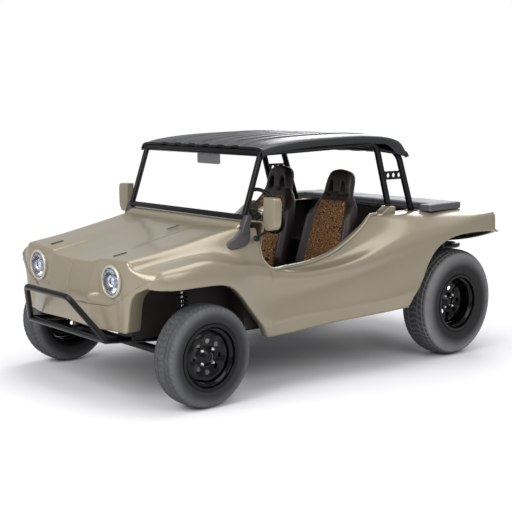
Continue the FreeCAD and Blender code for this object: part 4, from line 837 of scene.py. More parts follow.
# The boot's upper and lower outline in side view, as (x, z).
boot_high = np.array([(FRONT - 0.490, 1.062), (FRONT - 0.450, 1.058), (FRONT - 0.405, 1.012), (FRONT - 0.350, 0.974),
                      (FRONT - 0.300, 0.954), (FRONT - 0.282, 0.940), (FRONT - 0.276, 0.924)])
boot_low = np.array([(FRONT - 0.490, 1.040), (FRONT - 0.480, 0.985), (FRONT - 0.462, 0.950), (FRONT - 0.430, 0.922),
                     (FRONT - 0.360, 0.908), (FRONT - 0.300, 0.906), (FRONT - 0.276, 0.922)])
boots = []
for side in (1, -1):
    x = np.linspace(FRONT - 0.4899, FRONT - 0.2761, 44)[:, None]
    high = np.interp(x, boot_high[:, 0], boot_high[:, 1])
    low = np.interp(x, boot_low[:, 0], boot_low[:, 1])
    share = np.linspace(0, 1, 26)[None, :]
    z = low + (high - low) * share
    x = np.broadcast_to(x, z.shape)
    on_skin = body_section(x.ravel(), section_place(x.ravel(), z.ravel(), TOP - 0.6, SHOULDER)).reshape(z.shape + (2,))
    rim = np.minimum(np.minimum(share, 1 - share) * (high - low), np.minimum(x - x[0, 0], x[-1, 0] - x))
    proud = 0.014 * np.sqrt(np.clip(1 - (1 - np.clip(rim / 0.012, 0, 1)) ** 2, 0, 1)) - 0.002
    boots.append(surface("boot", np.stack([x, side * (on_skin[..., 0] + proud), z], axis=-1)))
boot_material = finish("boot casting", (62, 60, 62), 0.42, metal=0.2, cloud=0.1, grain=0.1, grain_size=300)
dress(merged("windscreen_boots", boots), boot_material)
knees = [prism("knee", [(FRONT - 0.490, 1.095), (FRONT - 0.452, 1.108), (FRONT - 0.425, 1.050), (FRONT - 0.405, 0.985),
                        (FRONT - 0.462, 0.985)], "y", *sorted((side * 0.612, side * 0.668)), 0.012, 4)
         for side in (1, -1)]
dress(merged("windscreen_knees", knees), boot_material)
glass_pane = leaned(box_piece("windscreen_pane", (-0.003, -0.606, 0.030), (0.003, 0.606, SCREEN_TALL - 0.034),
                              0.001, 1))
pane_material = finish("windscreen glass", (240, 243, 244), 0.08, cloud=0.0)
pane_material.node_tree.nodes["Principled BSDF"].inputs["Alpha"].default_value = 0.06
dress(glass_pane, pane_material, stands_for=("windscreen_glass",))

# ================================================================ roof
# A black fibreglass panel with six pressed ribs; its sides turn down as skirts over the rails, and
# its back edge rolls over the rear hoop.
ROOF_TOP = 1.590
# x, drop of the top, drop of the skirt's edge, half width, how strong the ribs are
ROOF = np.array([
    (REAR + 0.283, 0.128, 0.168, 0.658, 0.3), (REAR + 0.314, 0.089, 0.166, 0.661, 0.7),
    (REAR + 0.352, 0.056, 0.160, 0.664, 1.0), (REAR + 0.405, 0.036, 0.142, 0.668, 1.0),
    (REAR + 0.450, 0.026, 0.112, 0.669, 1.0), (REAR + 0.500, 0.019, 0.084, 0.671, 1.0),
    (REAR + 0.610, 0.011, 0.072, 0.672, 1.0), (FRONT - 1.180, 0.013, 0.072, 0.672, 1.0),
    (FRONT - 0.900, 0.026, 0.084, 0.671, 1.0), (FRONT - 0.760, 0.039, 0.096, 0.670, 1.0),
    (FRONT - 0.650, 0.055, 0.110, 0.669, 1.0), (FRONT - 0.575, 0.074, 0.126, 0.668, 0.7)])
roof_x = np.linspace(ROOF[0, 0], ROOF[-1, 0], 130)
drop, skirt, roof_half, rib_share = along_stations(roof_x, ROOF[:, 0], ROOF[:, 1:]).T
RIBS = (-0.390, -0.235, -0.080, 0.080, 0.235, 0.390)


def roof_row(half, top, edge, ribbed):
    """One cross section of the roof: side skirts, rounded shoulders and a flat, ribbed top."""
    side = rounded_line([(half, -edge), (half - 0.002, -top - 0.034), (half - 0.020, -top - 0.007),
                         (half - 0.080, -top - 0.0005), (half - 0.16, -top)], 0.5, 10)
    across = np.linspace(side[-1, 0], -side[-1, 0], 221)
    middle = np.stack([across, np.full(len(across), -top)], axis=-1)
    line = np.concatenate([side[:-1], middle, side[::-1][1:] * [-1, 1]])
    lift = sum(ramp(0.036 - np.abs(line[:, 0] - y), 0, 0.009) for y in RIBS)
    line[:, 1] += 0.0085 * lift * ribbed
    return line


roof_rows = [roof_row(*values) for values in zip(roof_half, drop, skirt, rib_share)]
roof_grid = np.array([np.concatenate([np.full((len(row), 1), x), row + [0, ROOF_TOP]], axis=1)
                      for x, row in zip(roof_x, roof_rows)])
roof_skin = surface("roof_panel", roof_grid)
thickened(roof_skin, 0.007)
roof_edge = roof_skin.modifiers.new("edge", "BEVEL")
roof_edge.width = 0.003
roof_edge.segments = 2
roof_edge.limit_method = "ANGLE"
roof_edge.angle_limit = np.radians(60)
dress(roof_skin, roof_black, stands_for=("roof",))

# ================================================================ roll cage
# Black steel tube: a bent rear hoop, a rail along each side down to the deck, a link between them
# and a drilled gusset; each rear leg stands on a foot plate bolted to the deck.
def bent_path(corners, bend, steps=10):
    """A polyline whose inner corners are turned in circular arcs of a radius."""
    corners = [np.array(corner, dtype=float) for corner in corners]
    points = [corners[0]]
    for before, middle, after in zip(corners, corners[1:], corners[2:]):
        a, b = before - middle, after - middle
        length_a, length_b = np.linalg.norm(a), np.linalg.norm(b)
        a, b = a / length_a, b / length_b
        half_angle = np.arccos(np.clip(a @ b, -1, 1)) / 2
        reach = min(bend / np.tan(half_angle), 0.49 * length_a, 0.49 * length_b)
        radius = reach * np.tan(half_angle)
        centre = middle + (a + b) / np.linalg.norm(a + b) * radius / np.sin(half_angle)
        start, end = middle + a * reach - centre, middle + b * reach - centre
        sweep = np.pi - 2 * half_angle
        for t in np.linspace(0, 1, steps):
            points.append(centre + (start * np.sin((1 - t) * sweep) + end * np.sin(t * sweep)) / np.sin(sweep))
    points.append(corners[-1])
    return np.array(points)


def tube(name, path, radius, steps=20, closed=False, capped_ends=True):
    """A round tube along a path, its rings turned as little as possible from one to the next."""
    path = np.array(path, dtype=float)
    if closed:
        tangent = np.roll(path, -1, axis=0) - np.roll(path, 1, axis=0)
    else:
        tangent = np.gradient(path, axis=0)
    tangent /= np.linalg.norm(tangent, axis=1, keepdims=True)
    side = np.cross(tangent[0], (0.12, 0.31, 0.94))
    rings = []
    angle = np.linspace(0, 2 * np.pi, steps, endpoint=False)[:, None]
    radii = np.broadcast_to(radius, len(path))
    for point, along, r in zip(path, tangent, radii):
        side = side - along * (side @ along)
        side /= np.linalg.norm(side)
        other = np.cross(along, side)
        rings.append(point + r * (np.cos(angle) * side + np.sin(angle) * other))
    rings = np.array(rings)
    if capped_ends and not closed:
        ends = [np.repeat(path[:1], steps, axis=0), path[0] + (rings[0] - path[0]) * 0.85]
        far = [path[-1] + (rings[-1] - path[-1]) * 0.85, np.repeat(path[-1:], steps, axis=0)]
        rings = np.concatenate([np.array(ends), rings, np.array(far)])
    return surface(name, rings, closed_rows=closed, closed_columns=True, sharp=50)


def side_box(name, side, low, high, *rounding):
    """A rounded box given by its corners on the left, on the side asked for."""
    inner, outer = sorted((side * low[1], side * high[1]))
    return box_piece(name, (low[0], inner, low[2]), (high[0], outer, high[2]), *rounding)


def evaluated_mesh(piece):
    """A new mesh with the piece's modifiers applied."""
    return bpy.data.meshes.new_from_object(piece.evaluated_get(bpy.context.evaluated_depsgraph_get()))


def cut_out(piece, drill):
    """Cuts the drill's shape out of a piece and removes the drill."""
    hole = piece.modifiers.new("hole", "BOOLEAN")
    hole.object = drill
    hole.operation = "DIFFERENCE"
    bpy.context.view_layer.update()
    cut = evaluated_mesh(piece)
    piece.modifiers.clear()
    piece.data = cut
    bpy.data.objects.remove(drill)


TUBE, CAGE_Y = 0.0225, 0.612
HOOP_X = REAR + 0.345
slope = np.arctan2(0.070, 0.125)
HOOP_Z = ROOF_TOP - 0.050 - 0.055 * np.tan(slope) - 0.009 - TUBE / np.cos(slope) - 0.0003
RAIL_Z = ROOF_TOP - 0.005 - 0.009 - TUBE - 0.033
rail_end = screen_top + np.array([-bar - 0.008, 0, -bar])
dress(merged("roof_beads", [tube("seal", [(screen_top[0] - 0.004, -0.634, screen_top[2] + 0.004),
                                           (screen_top[0] - 0.004, 0.634, screen_top[2] + 0.004)], 0.011, 12),
                            tube("bead", roof_grid[0][::3] + [0.008, 0, -0.004], 0.016, 16),
                            tube("bead", roof_grid[-1][::3] + [-0.006, 0, -0.004], 0.009, 12)]),
      black_steel)
cage, wedges = [], []
for side in (1, -1):
    y = side * CAGE_Y
    cage.append(tube("rail", bent_path([(REAR + 0.425, y, DECK + 0.050), (REAR + 0.560, y, RAIL_Z),
                                        (rail_end[0], y, rail_end[2])], 0.09), TUBE))
    cage.append(tube("link", [(HOOP_X + 0.010, y, HOOP_Z - 0.020), (REAR + 0.545, y, RAIL_Z - 0.040)], TUBE - 0.004))
    wedges.append(prism("wedge", [(REAR + 0.525, DECK - 0.006), (REAR + 0.385, DECK - 0.006),
                                  (REAR + 0.385, DECK + 0.044), (REAR + 0.446, DECK + 0.050),
                                  (REAR + 0.505, DECK + 0.014)], "y", *sorted((side * 0.574, side * 0.650)), 0.008, 3))
    cage.append(side_box("foot", side, (REAR + 0.150, CAGE_Y - 0.032, DECK),
                         (REAR + 0.215, CAGE_Y + 0.032, DECK + 0.008), 0.002))
cage.append(tube("hoop", bent_path([(REAR + 0.184, CAGE_Y, DECK + 0.004), (HOOP_X, CAGE_Y, HOOP_Z),
                                    (HOOP_X, -CAGE_Y, HOOP_Z), (REAR + 0.184, -CAGE_Y, DECK + 0.004)], 0.09), TUBE))


def drilled_plate(name, outline, holes, middle_y, thickness):
    """A flat plate in the XZ plane with round holes (x, z, radius), cut and then given its thickness."""
    blank = prism(name, outline, "y", middle_y - thickness / 2, middle_y + thickness / 2, 0)
    for x, z, radius in holes:
        cut_out(blank, lathe("drill", [(-0.03, 0.00001), (-0.03, radius), (0.03, radius), (0.03, 0.00001)],
                             (x, middle_y, z), (0, 1, 0), 32))
    blank.data.set_sharp_from_angle(angle=np.radians(30))
    return blank


for side in (1, -1):
    holes = [(REAR + 0.376 + x, DECK + 0.262, 0.016) for x in (-0.055, 0, 0.055)]
    cage.append(drilled_plate("gusset", [(REAR + 0.258, DECK + 0.232), (REAR + 0.474, DECK + 0.232),
                                         (REAR + 0.492, DECK + 0.292), (REAR + 0.279, DECK + 0.292)],
                              holes, side * CAGE_Y, 0.008))
dress(merged("cage_tubes", cage), black_steel, stands_for=("roll_cage",))
dress(merged("rail_wedges", wedges), paint)

# ================================================================ bumpers
# A nudge bar of bent black tube ahead of the nose, and two looped tubes guarding the engine.
BAR = 0.019
NOSE_END, TAIL_END = FRONT + 0.610, REAR - 0.570
BEAM_X = FRONT - 0.030
FOOT_X = NOSE_END - 0.150


def ball(radius, steps):
    """A half circle, as the profile of a ball for lathe."""
    return [(radius * np.cos(a), max(radius * np.sin(a), 1e-5)) for a in np.linspace(0, np.pi, steps)]


nudge = [tube("loop", bent_path([(FOOT_X, 0.452, 0.410), (NOSE_END - BAR, 0.250, 0.655),
                                 (NOSE_END - BAR, -0.250, 0.655), (FOOT_X, -0.452, 0.410)], 0.06), BAR),
         tube("foot_bar", [(FOOT_X, -0.452, 0.405), (FOOT_X, 0.452, 0.405)], BAR)]
for side in (1, -1):
    corner = (FOOT_X, side * 0.452, 0.405)
    nudge.append(tube("stay", [corner, (BEAM_X + 0.030, side * 0.452, 0.362)], BAR))
    nudge.append(lathe("corner", ball(0.0191, 13), corner, (1, 0, 0), 24))
dress(merged("nudge_bar", nudge), black_steel, stands_for=("front_bumper",))
guard = []
POST_X = REAR - 0.300
for z in (DECK - 0.320, DECK - 0.475):
    guard.append(tube("loop", bent_path([(POST_X, 0.490, z), (TAIL_END + BAR, 0.490, z), (TAIL_END + BAR, -0.490, z),
                                         (POST_X, -0.490, z)], 0.09), BAR))
for side in (1, -1):
    guard.append(tube("post", [(POST_X, side * 0.490, DECK - 0.475), (POST_X, side * 0.490, DECK - 0.012)],
                      BAR + 0.003))
dress(merged("rear_guard", guard), black_steel, stands_for=("rear_bumper",))

# ================================================================ mirrors
# Body-coloured shells with mirror glass behind, on black stalks; a black mirror hangs from the frame.
shells, stalks, mirror_faces = [], [], []
for side in (1, -1):
    low_x, high_x = FRONT - 0.560, FRONT - 0.502
    y0, y1 = 0.752, 0.864
    outline = rounded_line([(y0 + 0.014, 1.220), (y1, 1.216), (y1 - 0.004, 1.060), (y1 - 0.030, 1.018),
                            (y0 + 0.018, 1.016), (y0, 1.060), (y0 + 0.004, 1.218)], 0.3, 5)[1:]
    outline = [(side * y, z) for y, z in outline]
    shells.append(prism("shell", outline, "x", low_x, high_x, 0.012, 4))
    inner = [(side * 0.808 + (y - side * 0.808) * 0.84, 1.118 + (z - 1.118) * 0.90) for y, z in outline]
    mirror_faces.append(prism("mirror", inner, "x", low_x - 0.0005, low_x + 0.004, 0.001, 1))
    stalks.append(tube("stalk", bent_path([(FRONT - 0.500, side * 0.690, 0.960), (FRONT - 0.515, side * 0.735, 0.990),
                                           (FRONT - 0.530, side * 0.800, 1.030)], 0.02), 0.0085))
    stalks.append(lathe("stalk_foot", [(-0.004, 0.001), (-0.004, 0.020), (0.006, 0.018), (0.014, 0.011),
                                       (0.015, 0.001)], (FRONT - 0.498, side * 0.692, 0.958),
                        (-0.1, side * 0.9, 0.4), 32))
    stalks.append(lathe("stalk_head", [(-0.012, 0.001), (-0.010, 0.014), (0.010, 0.014), (0.012, 0.001)],
                        (FRONT - 0.530, side * 0.800, 1.022), (0, 0, 1), 32))
dress(merged("mirror_shells", shells), paint, stands_for=("side_mirrors",))
dress(merged("mirror_stalks", stalks), black_plastic)
silver = finish("mirror glass", (150, 155, 160), 0.03, metal=1.0, cloud=0.0)
dress(merged("mirror_faces", mirror_faces), silver)
top_x = screen_top[0]
rear_view = [box_piece("rear_view", (top_x - 0.075, -0.118, 1.388), (top_x - 0.050, 0.118, 1.462), 0.012, 5),
             tube("stem", [(top_x - 0.060, 0, 1.446), (top_x - 0.014, 0, screen_top[2] - 0.022)], 0.007)]
dress(merged("cabin_mirror_shell", rear_view), black_plastic, stands_for=("cabin_mirror",))
dress(box_piece("cabin_mirror_face", (top_x - 0.0755, -0.108, 1.397), (top_x - 0.070, 0.108, 1.453), 0.002, 2),
      silver)

# ================================================================ wheels
# Grooved tyres on black pressed-steel rims, each held by four bright nuts round a hub cap; the rubber is dusty and
# painted lighter towards the shoulder as a highlight.
def tyre_material(name, clean, dust_and_highlight_tone):
    """Rubber from clean to a lighter tone by the tyre's own attribute of dust and painted highlight, broken up by soft
    patches.
    """
    made = finish(name, dust_and_highlight_tone, 0.80, cloud=0.28, cloud_size=14, grain=0.5, grain_size=220, gloss=0.3)
    tree = made.node_tree
    share = add_node(tree, "Attribute", attribute_name="dust_and_highlight")
    both = add_node(tree, "Mix", {"A": linear(*clean)}, data_type="RGBA")
    wire(tree, (share, "Fac", both, "Factor"), (tree.nodes["Mix"], "Result", both, "B"),
         (both, "Result", tree.nodes["Principled BSDF"], "Base Color"))
    return made


rubber = {"front": tyre_material("front rubber", (44, 44, 46), (92, 93, 95)),
          "rear": tyre_material("rear rubber", (36, 34, 33), (126, 126, 128))}
rim_black = finish("black wheel", (5, 4, 6), 0.16, cloud=0.05, gloss=0.22)
nut_steel = finish("bright nuts", (205, 205, 205), 0.30, metal=0.8, cloud=0.02)
BEAD = 0.1905


def points_of(mesh):
    """The mesh's points as rows of coordinates."""
    points = np.empty(len(mesh.vertices) * 3)
    mesh.vertices.foreach_get("co", points)
    return points.reshape(-1, 3)


def tyre(name, centre, side, diameter, width, blocks, round_off, tread_dust_and_highlight):
    """A tyre: its section turned round the axle, with grooves and slanted cuts sunk into the tread.

    Across the tread, five grooves run round it; cuts slant one way on each side of the middle.  The
    sidewall carries a few fine raised rings and no marks.
    """
    outer = diameter / 2
    lip = width * 0.44 - 0.008
    half = rounded_line([(-lip, BEAD), (-lip, BEAD + 0.014), (-width * 0.468, BEAD + 0.026),
                         (-width * 0.500, (outer + BEAD) / 2 + 0.004), (-width * 0.460, outer - 0.028 * round_off),
                         (-width * 0.380, outer - 0.007 * round_off), (-width * 0.200, outer - 0.0005 * round_off),
                         (0, outer)], 0.5, 8)[:-1]
    length = np.concatenate([[0], np.cumsum(np.linalg.norm(np.diff(half, axis=0), axis=1))])
    even = np.concatenate([np.linspace(0, length[-1] * 0.62, 34)[:-1], np.linspace(length[-1] * 0.62, length[-1], 56)])
    along = np.interp(even, length, half[:, 0])
    radius = np.interp(even, length, half[:, 1])
    along = np.concatenate([along, -along[::-1]])
    radius = np.concatenate([radius, radius[::-1]])
    steps = blocks * 8
    angle = np.linspace(0, 2 * np.pi, steps, endpoint=False)[:, None]
    across = along / width
    tread = ramp(radius, outer - 0.034, outer - 0.022)
    grooves = sum(ramp(0.020 - np.abs(across - g), 0.004, 0.014) for g in (-0.29, -0.12, 0.05, 0.21, 0.33))
    turn = angle * blocks / (2 * np.pi)
    slant = (turn + 3.2 * np.abs(across) * np.where(across > -0.04, 1, -1)) % 1.0
    cuts = ramp(0.115 - np.abs(slant - 0.5), 0, 0.07) * ramp(np.abs(np.abs(across) - 0.03), 0.02, 0.06)
    cuts = cuts * (0.65 + 0.35 * ramp(np.abs(across), 0.28, 0.36))
    sunk = 0.0075 * np.maximum(np.clip(grooves, 0, 1), 0.8 * cuts) * tread
    rings = 0.0012 * (ramp(0.0035 - np.abs(radius - (BEAD + 0.034)), 0, 0.002)
                      + ramp(0.0035 - np.abs(radius - (BEAD + 0.62 * (outer - BEAD))), 0, 0.002)) * (1 - tread)
    r = radius - sunk
    x = np.broadcast_to(along + np.sign(along) * rings, (steps, len(along)))
    grid = np.stack([r * np.cos(angle), x * side, r * np.sin(angle)], axis=-1) + np.array(centre)
    piece = surface(name, grid, closed_rows=True, sharp=60)
    place = points_of(piece.data) - np.array(centre)
    away, across = np.hypot(place[:, 0], place[:, 2]), side * place[:, 1]
    on_tread = ramp(0.43 * width - np.abs(across), 0, 0.07 * width)
    sunken = np.clip((np.interp(across, along, radius) - away) / 0.005, 0, 1) * on_tread
    # Lighter towards the shoulder: partly dust, partly a painted highlight on the rounded shoulder; dust also gathers
    # in the grooves.
    dust_and_highlight = ramp((away - BEAD) / (outer - BEAD), 0.30, 0.88) * (1 - (1 - tread_dust_and_highlight) * on_tread)
    dust_and_highlight = np.clip(dust_and_highlight + 0.7 * sunken, 0, 1)
    piece.data.attributes.new("dust_and_highlight", "FLOAT", "POINT").data.foreach_set("value", dust_and_highlight)
    return piece


def rim(name, centre, side, width, dish):
    """A steel rim with a disc set dish inside its outer lip, drilled with eight holes."""
    edge = width * 0.44
    face = edge - dish
    lower = BEAD - 0.0003
    barrel = rounded_line([(-edge, BEAD - 0.008), (-edge, BEAD + 0.0135), (-edge + 0.006, BEAD + 0.0135),
                           (-edge + 0.008, lower), (-edge + 0.045, lower), (-edge + 0.060, BEAD - 0.022),
                           (edge - 0.040, BEAD - 0.022), (edge - 0.028, lower), (edge - 0.008, lower),
                           (edge - 0.006, BEAD + 0.0135), (edge, BEAD + 0.0135), (edge, BEAD - 0.008),
                           (edge - 0.022, BEAD - 0.012), (edge - 0.036, BEAD - 0.030), (face + 0.010, BEAD - 0.032),
                           (-edge + 0.060, BEAD - 0.031), (-edge + 0.036, BEAD - 0.010),
                           (-edge, BEAD - 0.008)], 0.22, 4)
    parts = [lathe("barrel", barrel, centre, (0, side, 0), 120, sharp=50)]
    # The disc is a grid of rings; near the rim it is pressed into eight pads between its holes.
    reach = np.linspace(0.030, BEAD - 0.0325, 46)
    steps = 240
    angle = np.linspace(0, 2 * np.pi, steps, endpoint=False)[:, None]
    height = np.interp(reach, [0.030, 0.040, 0.058, 0.066, 0.100, 0.125, 0.140, 0.158],
                       [0.020, 0.012, -0.004, -0.006, 0.004, 0.010, 0.009, 0.001])
    pads = 0.003 * np.cos(8 * angle + np.pi) * ramp(reach, 0.068, 0.095) * (1 - ramp(reach, 0.125, 0.150))
    out_of_face = face + height + pads
    grid = np.stack([reach * np.cos(angle), side * np.broadcast_to(out_of_face, (steps, len(reach))),
                     reach * np.sin(angle)], axis=-1) + np.array(centre)

    def in_holes(points):
        """True where a face lies within one of the eight holes."""
        rel = points - np.array(centre)
        near = np.min([np.hypot(rel[:, 0] - 0.094 * np.cos(a), rel[:, 2] - 0.094 * np.sin(a))
                       for a in np.arange(8) * np.pi / 4], axis=0)
        return near < 0.0150

    grid = np.concatenate([grid, grid[:1]])
    disc = joined_mesh("disc", [grid], weld=1e-5, mirror=False, drop=in_holes)
    recalculated(disc)
    if sum(p.normal.y * side for p in disc.data.polygons) < 0:
        disc.data.flip_normals()
    disc.data.set_sharp_from_angle(angle=np.radians(50))
    parts.append(disc)
    hub = [(face - 0.010, 0.031), (face + 0.006, 0.030), (face + 0.010, 0.027), (face + 0.011, 0.020),
           (face + 0.012, 0.0001)]
    parts.append(lathe("cap", hub, centre, (0, side, 0), 64))
    return parts


def nuts(centre, side, face):
    """Four hexagon nuts on the disc."""
    made = []
    for a in (np.pi / 4, 3 * np.pi / 4, 5 * np.pi / 4, 7 * np.pi / 4):
        place = (centre[0] + 0.056 * np.cos(a), centre[1], centre[2] + 0.056 * np.sin(a))
        made.append(lathe("nut", [(face - 0.004, 0.0115), (face + 0.010, 0.0115), (face + 0.014, 0.009),
                                  (face + 0.017, 0.006), (face + 0.018, 0.0001)], place, (0, side, 0), 6, sharp=20))
    return made


# End, axle, diameter, width, middle along Y, depth of the disc, tread blocks, how round the tread's
# shoulders are, and how much of the dust and painted highlight reaches the tread.
WHEELS = (("front", FRONT, 0.620, 0.195, 0.790, 0.042, 52, 1.0, 0.45),
          ("rear", REAR, 0.760, 0.250, 0.805, 0.095, 58, 1.9, 0.15))
for place, axle, diameter, width, wheel_y, dish, blocks, round_off, tread_dust_and_highlight in WHEELS:
    for hand, side in (("left", 1), ("right", -1)):
        centre = (axle, side * wheel_y, diameter / 2)
        body_name = "wheel_%s_%s" % (place, hand)
        tread = tyre("tread_%s_%s" % (place, hand), centre, side, diameter, width, blocks, round_off, tread_dust_and_highlight)
        dress(tread, rubber[place], body_name, stands_for=("tyre_%s_%s" % (place, hand),))
        whole = merged("disc_%s_%s" % (place, hand), rim("rim", centre, side, width, dish))
        dress(whole, rim_black, body_name, stands_for=("rim_%s_%s" % (place, hand),))
        bolts = merged("nuts_%s_%s" % (place, hand), nuts(centre, side, width * 0.44 - dish - 0.004))
        dress(bolts, nut_steel, body_name)

# ================================================================ tail lights
# Long ribbed lenses, red inside and amber outside, in dark trays set in the tail's niches.
def lens_material(name, colour):
    """A moulded lens: small square prisms in relief over a deep colour."""
    made = finish(name, colour, 0.25, cloud=0.05, gloss=0.3)
    tree = made.node_tree
    place = add_node(tree, "TexCoord")
    squares = add_node(tree, "TexVoronoi", {"Scale": 130, "Randomness": 0.0}, distance="CHEBYCHEV")
    shade = add_node(tree, "Mix", {"Factor": 0.75}, data_type="RGBA", blend_type="MULTIPLY")
    wire(tree, (tree.nodes["Mix"], "Result", shade, "A"), (squares, "Distance", shade, "B"),
         (shade, "Result", tree.nodes["Principled BSDF"], "Base Color"), (place, "Object", squares, "Vector"))
    in_relief(tree, squares, "Distance", 0.7, 0.002)
    return made


def on_tail(name, y0, y1, low, high, proud, side):
    """A lens or tray lying along the tail's niche, its edges rounded down to it."""
    y = np.linspace(y0, y1, 40)[:, None]
    z = np.linspace(low, high, 16)[None, :]
    y, z = np.broadcast_arrays(y, z)
    rim = np.minimum(np.minimum(y - y0, y1 - y), np.minimum(z - low, high - z))
    lift = proud * np.sqrt(np.clip(1 - (1 - np.clip(rim / 0.006, 0, 1)) ** 2, 0, 1)) - 0.002
    inwards = np.clip(rim / 0.004, 0, 1)
    return surface(name, np.stack([tail_face(y, z) - lift * (0.2 + 0.8 * inwards), side * y, z], axis=-1))


red_parts, amber_parts, trays = [], [], []
for side in (1, -1):
    trays.append(on_tail("tray", 0.556, 0.904, 0.922, 1.006, 0.006, side))
    red_parts.append(on_tail("red", 0.562, 0.816, 0.928, 1.000, 0.013, side))
    amber_parts.append(on_tail("amber", 0.818, 0.898, 0.928, 1.000, 0.013, side))
dress(merged("tail_lens_red", red_parts), lens_material("red lens", (172, 14, 9)),
      stands_for=("tail_lights",))
dress(merged("tail_lens_amber", amber_parts), lens_material("amber lens", (176, 158, 52)))
dress(merged("tail_lamp_trays", trays), black_plastic)
# A raised bead outlines the bare plate recess.
across = np.linspace(-0.352, 0.352, 60)
low_across = np.linspace(0.366, -0.366, 60)
outline = np.concatenate([np.stack([across, np.full(len(across), 0.992)], axis=-1), [(0.362, 0.984), (0.376, 0.840)],
                          np.stack([low_across, tail_bottom(low_across) + 0.062], axis=-1),
                          [(-0.376, 0.840), (-0.362, 0.984)]])
bead_path = np.concatenate([tail_face(outline[:, 0], outline[:, 1])[:, None] - 0.002, outline], axis=1)
dress(tube("plate_bead", bead_path, 0.0055, 10, closed=True), paint)

# ================================================================ cabin tub
# The construction model's own shapes, finished here: a black floor with a raised diamond pattern
# and its tunnel, brown inner walls, the bulkhead, the knuckles and the steering column.
def diamond_plate():
    """Black plate with raised bars that alternate in two directions."""
    made = finish("diamond plate", (26, 26, 28), 0.38, metal=0.5, cloud=0.15, cloud_size=12)
    tree = made.node_tree
    place = add_node(tree, "TexCoord")
    turned_place = add_node(tree, "Mapping", {"Rotation": (0, 0, np.pi / 4), "Scale": (1, 1, 0.001)})
    bar_tone, gap_tone = (1, 1, 1, 1), (0, 0, 0, 1)
    bricks = add_node(tree, "TexBrick", {"Scale": 18, "Mortar Size": 0.06, "Mortar Smooth": 0.5,
                                         "Color1": bar_tone, "Color2": bar_tone, "Mortar": gap_tone})
    wire(tree, (place, "Object", turned_place, "Vector"), (turned_place, "Vector", bricks, "Vector"))
    in_relief(tree, bricks, "Color", 0.8, 0.003)
    return made


def keep(node_name, material):
    """Finishes a node of the construction model that is shown as it is."""
    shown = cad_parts[node_name]
    shown.data.materials.clear()
    shown.data.materials.append(material)


keep("floor_pan", diamond_plate())
keep("inner_sides", finish("inner wall brown", (34, 28, 25), 0.6))
keep("rear_bulkhead", well_black)
keep("knuckle_left", cast)
keep("knuckle_right", cast)
keep("steering_column", black_plastic)

# ================================================================ axles and dampers
# Twin black tubes across the front with trailing arms; a gearbox, tubes and drums at the rear; each
# damper is a chromed rod and body inside a black coil spring.
FRONT_Z, REAR_Z = 0.310, 0.380
KING_Y = 0.672
axle_black = finish("axle black", (22, 22, 24), 0.5, metal=0.4, cloud=0.2, cloud_size=12, grain=0.2, grain_size=150)
front = []
for z in (FRONT_Z - 0.062, FRONT_Z + 0.062):
    front.append(tube("beam", [(BEAM_X, -0.470, z), (BEAM_X, 0.470, z)], 0.027, 32))
    for side in (1, -1):
        plan = [(BEAM_X - 0.014, 0.468), (BEAM_X + 0.014, 0.468), (BEAM_X + 0.014, 0.596), (FRONT + 0.018, 0.630),
                (FRONT + 0.018, KING_Y), (FRONT - 0.018, KING_Y), (BEAM_X - 0.014, 0.645)]
        front.append(prism("arm", [(x, side * y) for x, y in plan], "z", z - 0.013, z + 0.013, 0.004, 3))
        front.append(lathe("eye", [(-0.0143, 0.0001), (-0.0143, 0.025), (-0.012, 0.0275), (0.012, 0.0275),
                                   (0.0143, 0.025), (0.0143, 0.0001)], (FRONT, side * KING_Y, z), (0, 0, 1), 40))
for side in (1, -1):
    front.append(side_box("tower", side, (BEAM_X - 0.016, 0.459, FRONT_Z - 0.079), (BEAM_X + 0.016, 0.481, 0.689),
                          0.004))
front.append(box_piece("clamp", (BEAM_X - 0.039, -0.149, FRONT_Z - 0.034), (BEAM_X + 0.019, 0.149, FRONT_Z + 0.099),
                       0.006))
dress(merged("front_beam", front), axle_black, stands_for=("front_axle_beam",))


def coil(start, end, radius, wire, turns):
    """A spring's wire wound round the line from start to end."""
    start, end = np.array(start), np.array(end)
    along = (end - start) / np.linalg.norm(end - start)
    aside = np.cross(along, (1, 0, 0))
    aside /= np.linalg.norm(aside)
    other = np.cross(along, aside)
    t = np.linspace(0, 1, int(turns * 20))[:, None]
    a = 2 * np.pi * turns * t
    return tube("coil", start + (end - start) * t + radius * (np.cos(a) * aside + np.sin(a) * other), wire, 10)


# For the front and then the rear: foot and head on the left, body radius, the spring's upper end as
# a share, its radius, wire and turns, the cups' radius and the upper cup's place as a share.
DAMPERS = (((BEAM_X, 0.560, FRONT_Z + 0.078), (BEAM_X, 0.540, 0.688), 0.020, 0.93, 0.031, 0.0045, 9, 0.035, 0.95),
           ((REAR + 0.130, 0.580, REAR_Z + 0.031), (REAR + 0.130, 0.577, 0.719), 0.019, 0.90, 0.028, 0.005, 8, 0.033,
            0.92))
springs, damper_bodies = [], []
for side in (1, -1):
    for foot, head, body_radius, spring_end, radius, wire_radius, turns, cup, cup_share in DAMPERS:
        low, high = np.array(foot) * [1, side, 1], np.array(head) * [1, side, 1]
        damper_bodies.append(tube("rod", [low, high], 0.012, 20))
        damper_bodies.append(tube("tube", [low, low + (high - low) * 0.55], body_radius, 24))
        springs.append(coil(low + (high - low) * 0.16, low + (high - low) * spring_end, radius, wire_radius, turns))
        springs += [lathe("seat", [(-0.004, 0.012), (-0.004, cup), (0.004, cup), (0.004, 0.012)],
                          low + (high - low) * share, high - low, 32) for share in (0.14, cup_share)]
    springs.append(tube("pin", [(BEAM_X, side * 0.4825, 0.670), (BEAM_X, side * 0.545, 0.670)], 0.0118, 20))
dress(merged("damper_bodies", damper_bodies), chrome, stands_for=("shock_absorbers",))
dress(merged("damper_springs", springs), axle_black)

